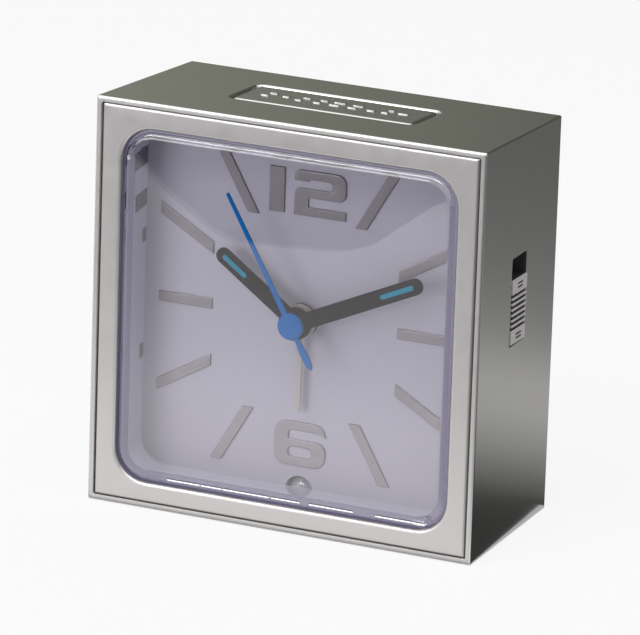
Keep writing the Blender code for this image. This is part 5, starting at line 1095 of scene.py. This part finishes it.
def build_slider():
    low = SLOT_LOW + SLOT_GAP
    high = low + SLIDER_LENGTH
    near = SLOT_FRONT + SLOT_GAP
    far = SLOT_BACK - SLOT_GAP
    face = case_side((SLOT_FRONT + SLOT_BACK) / 2) + SLIDER_RISE
    foot = (low + high - GROOVES_HEIGHT) / 2
    edge = SLIDER_EDGE
    profile = [(SLIDER_ROOT, low), (face - edge, low), (face, low + edge)]
    for k in range(GROOVES):
        z = foot + k * GROOVE_PITCH
        profile += [(face - drop * MM, z + rise * MM) for drop, rise in GROOVE_STEPS]
    profile += [(face, high - edge), (face - edge, high), (SLIDER_ROOT, high)]
    key = plate([profile], near, far)
    sharp = [e for e in key.edges if e.is_manifold and e.calc_face_angle() > math.radians(60)]
    bmesh.ops.bevel(key, geom=sharp, offset=SLIDER_BEVEL, segments=1, affect="EDGES")
    travel = SLOT_HIGH - SLOT_GAP - high
    outline = rounded(
        SLOT_FRONT - SLIDER_LAP,
        SLOT_BACK + SLIDER_LAP,
        SLOT_LOW - SLIDER_LAP - travel,
        SLOT_HIGH + SLIDER_LAP,
        SLIDER_PLATE_CORNER,
        3,
    )
    back = ringed([[(x, FRONT_Y + depth, z) for depth, z in outline] for x in SLIDER_PLATE])

    # Painted shade: the grooves' floors and walls and the slider's top face take the black plastic
    # look.
    def shaded_groove(spot):
        tall = foot - SLACK < spot.z < foot + GROOVES_HEIGHT + 2 * SLACK
        deep = face - 0.4 * MM < spot.x < face - 0.15 * MM
        return tall and deep and near < spot.y - FRONT_Y < far

    def shaded_head(spot):
        return spot.z > high - 0.08 * MM

    areas = (("black", shaded_groove), ("black", shaded_head))
    form = merged([key, back])
    piece("slider_key", form, "cap", "slider", ["alarm_slider"], areas=areas)
    lines = []
    middle = (near + far) / 2
    ends = (middle - MARK_HALF_WIDTH, middle + MARK_HALF_WIDTH)
    for z in (*(low + at for at in SLIDER_MARKS), *(high - at for at in SLIDER_MARKS)):
        edges = (face - MARK_SINK, face + MARK_RISE, z - MARK_HALF_HEIGHT, z + MARK_HALF_HEIGHT)
        lines.append(plate([rounded(*edges, MARK_CORNER, 2)], *ends, MARK_BEVEL, 1))
    piece("slider_marks", merged(lines), "black", "slider")


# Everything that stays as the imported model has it


def dress_nodes():
    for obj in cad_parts.values():
        if obj.hide_render:
            continue
        look = NODE_LOOKS[obj.data.materials[0].name.split(".")[0]]
        if obj.name == "movement_front_shell":
            look = "dial"
        obj.data.materials[0] = looks[look]
        bevel = obj.modifiers.new("Edges", "BEVEL")
        bevel.width = NODE_BEVEL
        bevel.segments = 2
        bevel.limit_method = "ANGLE"
        bevel.angle_limit = NODE_BEVEL_ANGLE


# Stage: floor, light and camera


def pale(name, lift, colour=(0.9, 0.9, 0.9)):
    """A diffuse white, lifted towards plain white for what sees it as the background."""
    material = bpy.data.materials.new(name)
    material.use_nodes = True
    tree = material.node_tree
    tree.nodes.clear()
    out = tree.nodes.new("ShaderNodeOutputMaterial")
    diffuse = tree.nodes.new("ShaderNodeBsdfDiffuse")
    diffuse.inputs["Color"].default_value = (*colour, 1.0)
    glow = tree.nodes.new("ShaderNodeEmission")
    glow.inputs["Strength"].default_value = 1.0
    path = tree.nodes.new("ShaderNodeLightPath")
    either = tree.nodes.new("ShaderNodeMath")
    either.operation = "MAXIMUM"
    tree.links.new(path.outputs["Is Camera Ray"], either.inputs[0])
    tree.links.new(path.outputs["Is Transmission Ray"], either.inputs[1])
    share = tree.nodes.new("ShaderNodeMath")
    share.operation = "MULTIPLY"
    share.inputs[1].default_value = lift
    tree.links.new(either.outputs[0], share.inputs[0])
    glossy = tree.nodes.new("ShaderNodeMath")
    glossy.operation = "MULTIPLY_ADD"
    glossy.inputs[1].default_value = lift * 0.33
    tree.links.new(path.outputs["Is Glossy Ray"], glossy.inputs[0])
    tree.links.new(share.outputs[0], glossy.inputs[2])
    mix = tree.nodes.new("ShaderNodeMixShader")
    tree.links.new(glossy.outputs[0], mix.inputs[0])
    tree.links.new(diffuse.outputs[0], mix.inputs[1])
    tree.links.new(glow.outputs[0], mix.inputs[2])
    tree.links.new(mix.outputs[0], out.inputs["Surface"])
    return material


def build_world():
    world = bpy.data.worlds.new("studio")
    world.use_nodes = True
    tree = world.node_tree
    tree.nodes.clear()
    out = tree.nodes.new("ShaderNodeOutputWorld")
    seen = tree.nodes.new("ShaderNodeBackground")
    seen.inputs["Color"].default_value = (1.0, 1.0, 1.0, 1.0)
    fill = tree.nodes.new("ShaderNodeBackground")
    fill.inputs["Color"].default_value = (0.96, 0.98, 1.0, 1.0)
    fill.inputs["Strength"].default_value = 0.45
    path = tree.nodes.new("ShaderNodeLightPath")
    first = tree.nodes.new("ShaderNodeMath")
    first.operation = "MAXIMUM"
    second = tree.nodes.new("ShaderNodeMath")
    second.operation = "MAXIMUM"
    tree.links.new(path.outputs["Is Camera Ray"], first.inputs[0])
    tree.links.new(path.outputs["Is Glossy Ray"], first.inputs[1])
    tree.links.new(first.outputs[0], second.inputs[0])
    tree.links.new(path.outputs["Is Transmission Ray"], second.inputs[1])
    mix = tree.nodes.new("ShaderNodeMixShader")
    tree.links.new(second.outputs[0], mix.inputs[0])
    tree.links.new(fill.outputs[0], mix.inputs[1])
    tree.links.new(seen.outputs[0], mix.inputs[2])
    tree.links.new(mix.outputs[0], out.inputs["Surface"])
    bpy.context.scene.world = world


def add_card(name, corners, axis, stops, tint=(1.0, 1.0, 1.0)):
    """A flat card that shows only in reflections and through glass, as a studio flag does.

    Its corners are in mm. Its brightness follows stops of (place along the axis in mm, strength).
    """
    mesh = bmesh.new()
    mesh.faces.new([mesh.verts.new([c * MM for c in corner]) for corner in corners])
    card = add_object(name, mesh)
    material = bpy.data.materials.new(name)
    material.use_nodes = True
    tree = material.node_tree
    tree.nodes.clear()
    out = tree.nodes.new("ShaderNodeOutputMaterial")
    glow = tree.nodes.new("ShaderNodeEmission")
    glow.inputs["Color"].default_value = (*tint, 1.0)
    place = tree.nodes.new("ShaderNodeTexCoord")
    split = tree.nodes.new("ShaderNodeSeparateXYZ")
    curve = tree.nodes.new("ShaderNodeFloatCurve")
    span = tree.nodes.new("ShaderNodeMapRange")
    low, high = stops[0][0], stops[-1][0]
    span.inputs["From Min"].default_value = low * MM
    span.inputs["From Max"].default_value = high * MM
    points = curve.mapping.curves[0].points
    peak = max(strength for _, strength in stops)
    for number, (at, strength) in enumerate(stops):
        spot = ((at - low) / (high - low), strength / peak)
        if number in (0, len(stops) - 1):
            points[0 if number == 0 else -1].location = spot
        else:
            points.new(*spot)
    curve.mapping.update()
    level = tree.nodes.new("ShaderNodeMath")
    level.operation = "MULTIPLY"
    level.inputs[1].default_value = peak
    tree.links.new(place.outputs["Object"], split.inputs[0])
    tree.links.new(split.outputs[axis], span.inputs["Value"])
    tree.links.new(span.outputs["Result"], curve.inputs["Value"])
    tree.links.new(curve.outputs["Value"], level.inputs[0])
    tree.links.new(level.outputs[0], glow.inputs["Strength"])
    tree.links.new(glow.outputs[0], out.inputs["Surface"])
    card.data.materials.append(material)
    card.visible_camera = False
    card.visible_diffuse = False
    card.visible_shadow = False


def build_stage():
    floor = bmesh.new()
    reach = 3.0
    below = -0.1 * MM
    turns = ((-1, -1), (1, -1), (1, 1), (-1, 1))
    floor.faces.new([floor.verts.new((x * reach, y * reach, below)) for x, y in turns])
    ground = add_object("floor", floor)
    ground.data.materials.append(pale("floor_white", 0.85))
    rear = [(-900, 400, 0), (900, 400, 0), (900, 620, 700), (-900, 620, 700)]
    shades = ((-900, 0.45), (-300, 0.30), (-221, 0.235), (-163, 0.19), (-80, 0.13), (900, 0.10))
    add_card("rear_flag", rear, "X", shades, (1.0, 1.01, 0.84))
    over = [(-900, -1300, 900), (900, -1300, 900), (900, 400, 900), (-900, 400, 900)]
    add_card("over_card", over, "Y", ((-1300, 1.0), (-400, 1.2), (-200, 1.9), (400, 1.9)))
    strip = [(-900, -740, 600), (300, -740, 600), (300, -740, 850), (-900, -740, 850)]
    add_card("front_strip", strip, "X", ((-900, 12.0), (300, 12.0)))
    side = [(37.7, -18, 0.2), (500, -18, 0.2), (500, 400, 0.2)]
    side += [(-60, 400, 0.2), (-60, 19, 0.2), (37.7, 19, 0.2)]
    shades = [(-18, 0.05), (12, 0.06), (25, 0.14), (42, 0.30), (60, 0.45), (80, 0.53)]
    shades += [(98, 0.47), (125, 0.31), (165, 0.225), (210, 0.185), (400, 0.16)]
    add_card("side_flag", side, "Y", shades, (1.0, 0.99, 0.97))
    edge = [(-190, -330), (-135, -233), (-114, -208), (-92, -185), (-85, -181), (-77, -182)]
    edge += [(-68, -184), (-63, -186), (-60, -193), (-61, -226), (-60, -231), (-30, -330)]
    far = [(x, y, 0.2) for x, y in edge]
    near = [(-420, -330, 0.2), *far, (38, -330, 0.2), (38, -19, 0.2), (-420, -19, 0.2)]
    shades = ((-330, 0.70), (-200, 0.85), (-150, 0.85), (-120, 1.05), (-60, 1.65), (-19, 1.65))
    add_card("front_sweep", near, "Y", shades, (1.0, 0.98, 0.97))
    corner = [(38, -330, 0.2), (400, -330, 0.2), (400, -19, 0.2), (38, -19, 0.2)]
    shades = ((38, 1.3), (60, 0.8), (100, 0.45), (200, 0.25), (400, 0.2))
    add_card("corner_flag", corner, "X", shades)
    add_card("front_flag", far, "Y", ((-330, 0.05), (-180, 0.05)))


def add_area(name, location, target, size, power, colour=(1.0, 1.0, 1.0)):
    light = bpy.data.lights.new(name, "AREA")
    light.shape = "RECTANGLE"
    light.size = size[0]
    light.size_y = size[1]
    light.energy = power
    light.color = colour
    lamp = bpy.data.objects.new(name, light)
    lamp.location = location
    aim = Vector(target) - Vector(location)
    lamp.rotation_euler = aim.to_track_quat("-Z", "Y").to_euler()
    bpy.context.scene.collection.objects.link(lamp)
    return lamp


def build_lights():
    middle = (0.0, 0.0, 0.037)
    add_area("key", (-0.55, -0.95, 0.16), middle, (0.5, 0.35), 3.0, (1.0, 0.985, 0.97))
    add_area("high", (-0.357, -0.80, 0.86), middle, (0.7, 0.12), 1.9)
    add_area("top", (0.1, -0.25, 1.2), middle, (0.9, 0.5), 4.3)


def build_camera():
    data = bpy.data.cameras.new("camera")
    data.sensor_width = 36.0
    data.lens = 368.99
    camera = bpy.data.objects.new("camera", data)
    right = Vector((0.9087249, 0.4161445, 0.0322913))
    up = Vector((-0.1481145, 0.2491692, 0.9570668))
    back = Vector((0.3902321, -0.8744933, 0.2880633))
    turn = Matrix((right, up, back)).transposed().to_4x4()
    camera.matrix_world = Matrix.Translation((0.455908, -1.023988, 0.372146)) @ turn
    data.clip_start = 0.05
    bpy.context.scene.collection.objects.link(camera)
    bpy.context.scene.camera = camera


looks = build_materials()
build_camera()
build_case()
build_bezel()
build_lens()
build_dial()
build_lamp()
build_hands()
build_snooze()
build_springs()
build_slider()
dress_nodes()
build_world()
build_stage()
build_lights()
bpy.context.scene.view_settings.view_transform = "Standard"
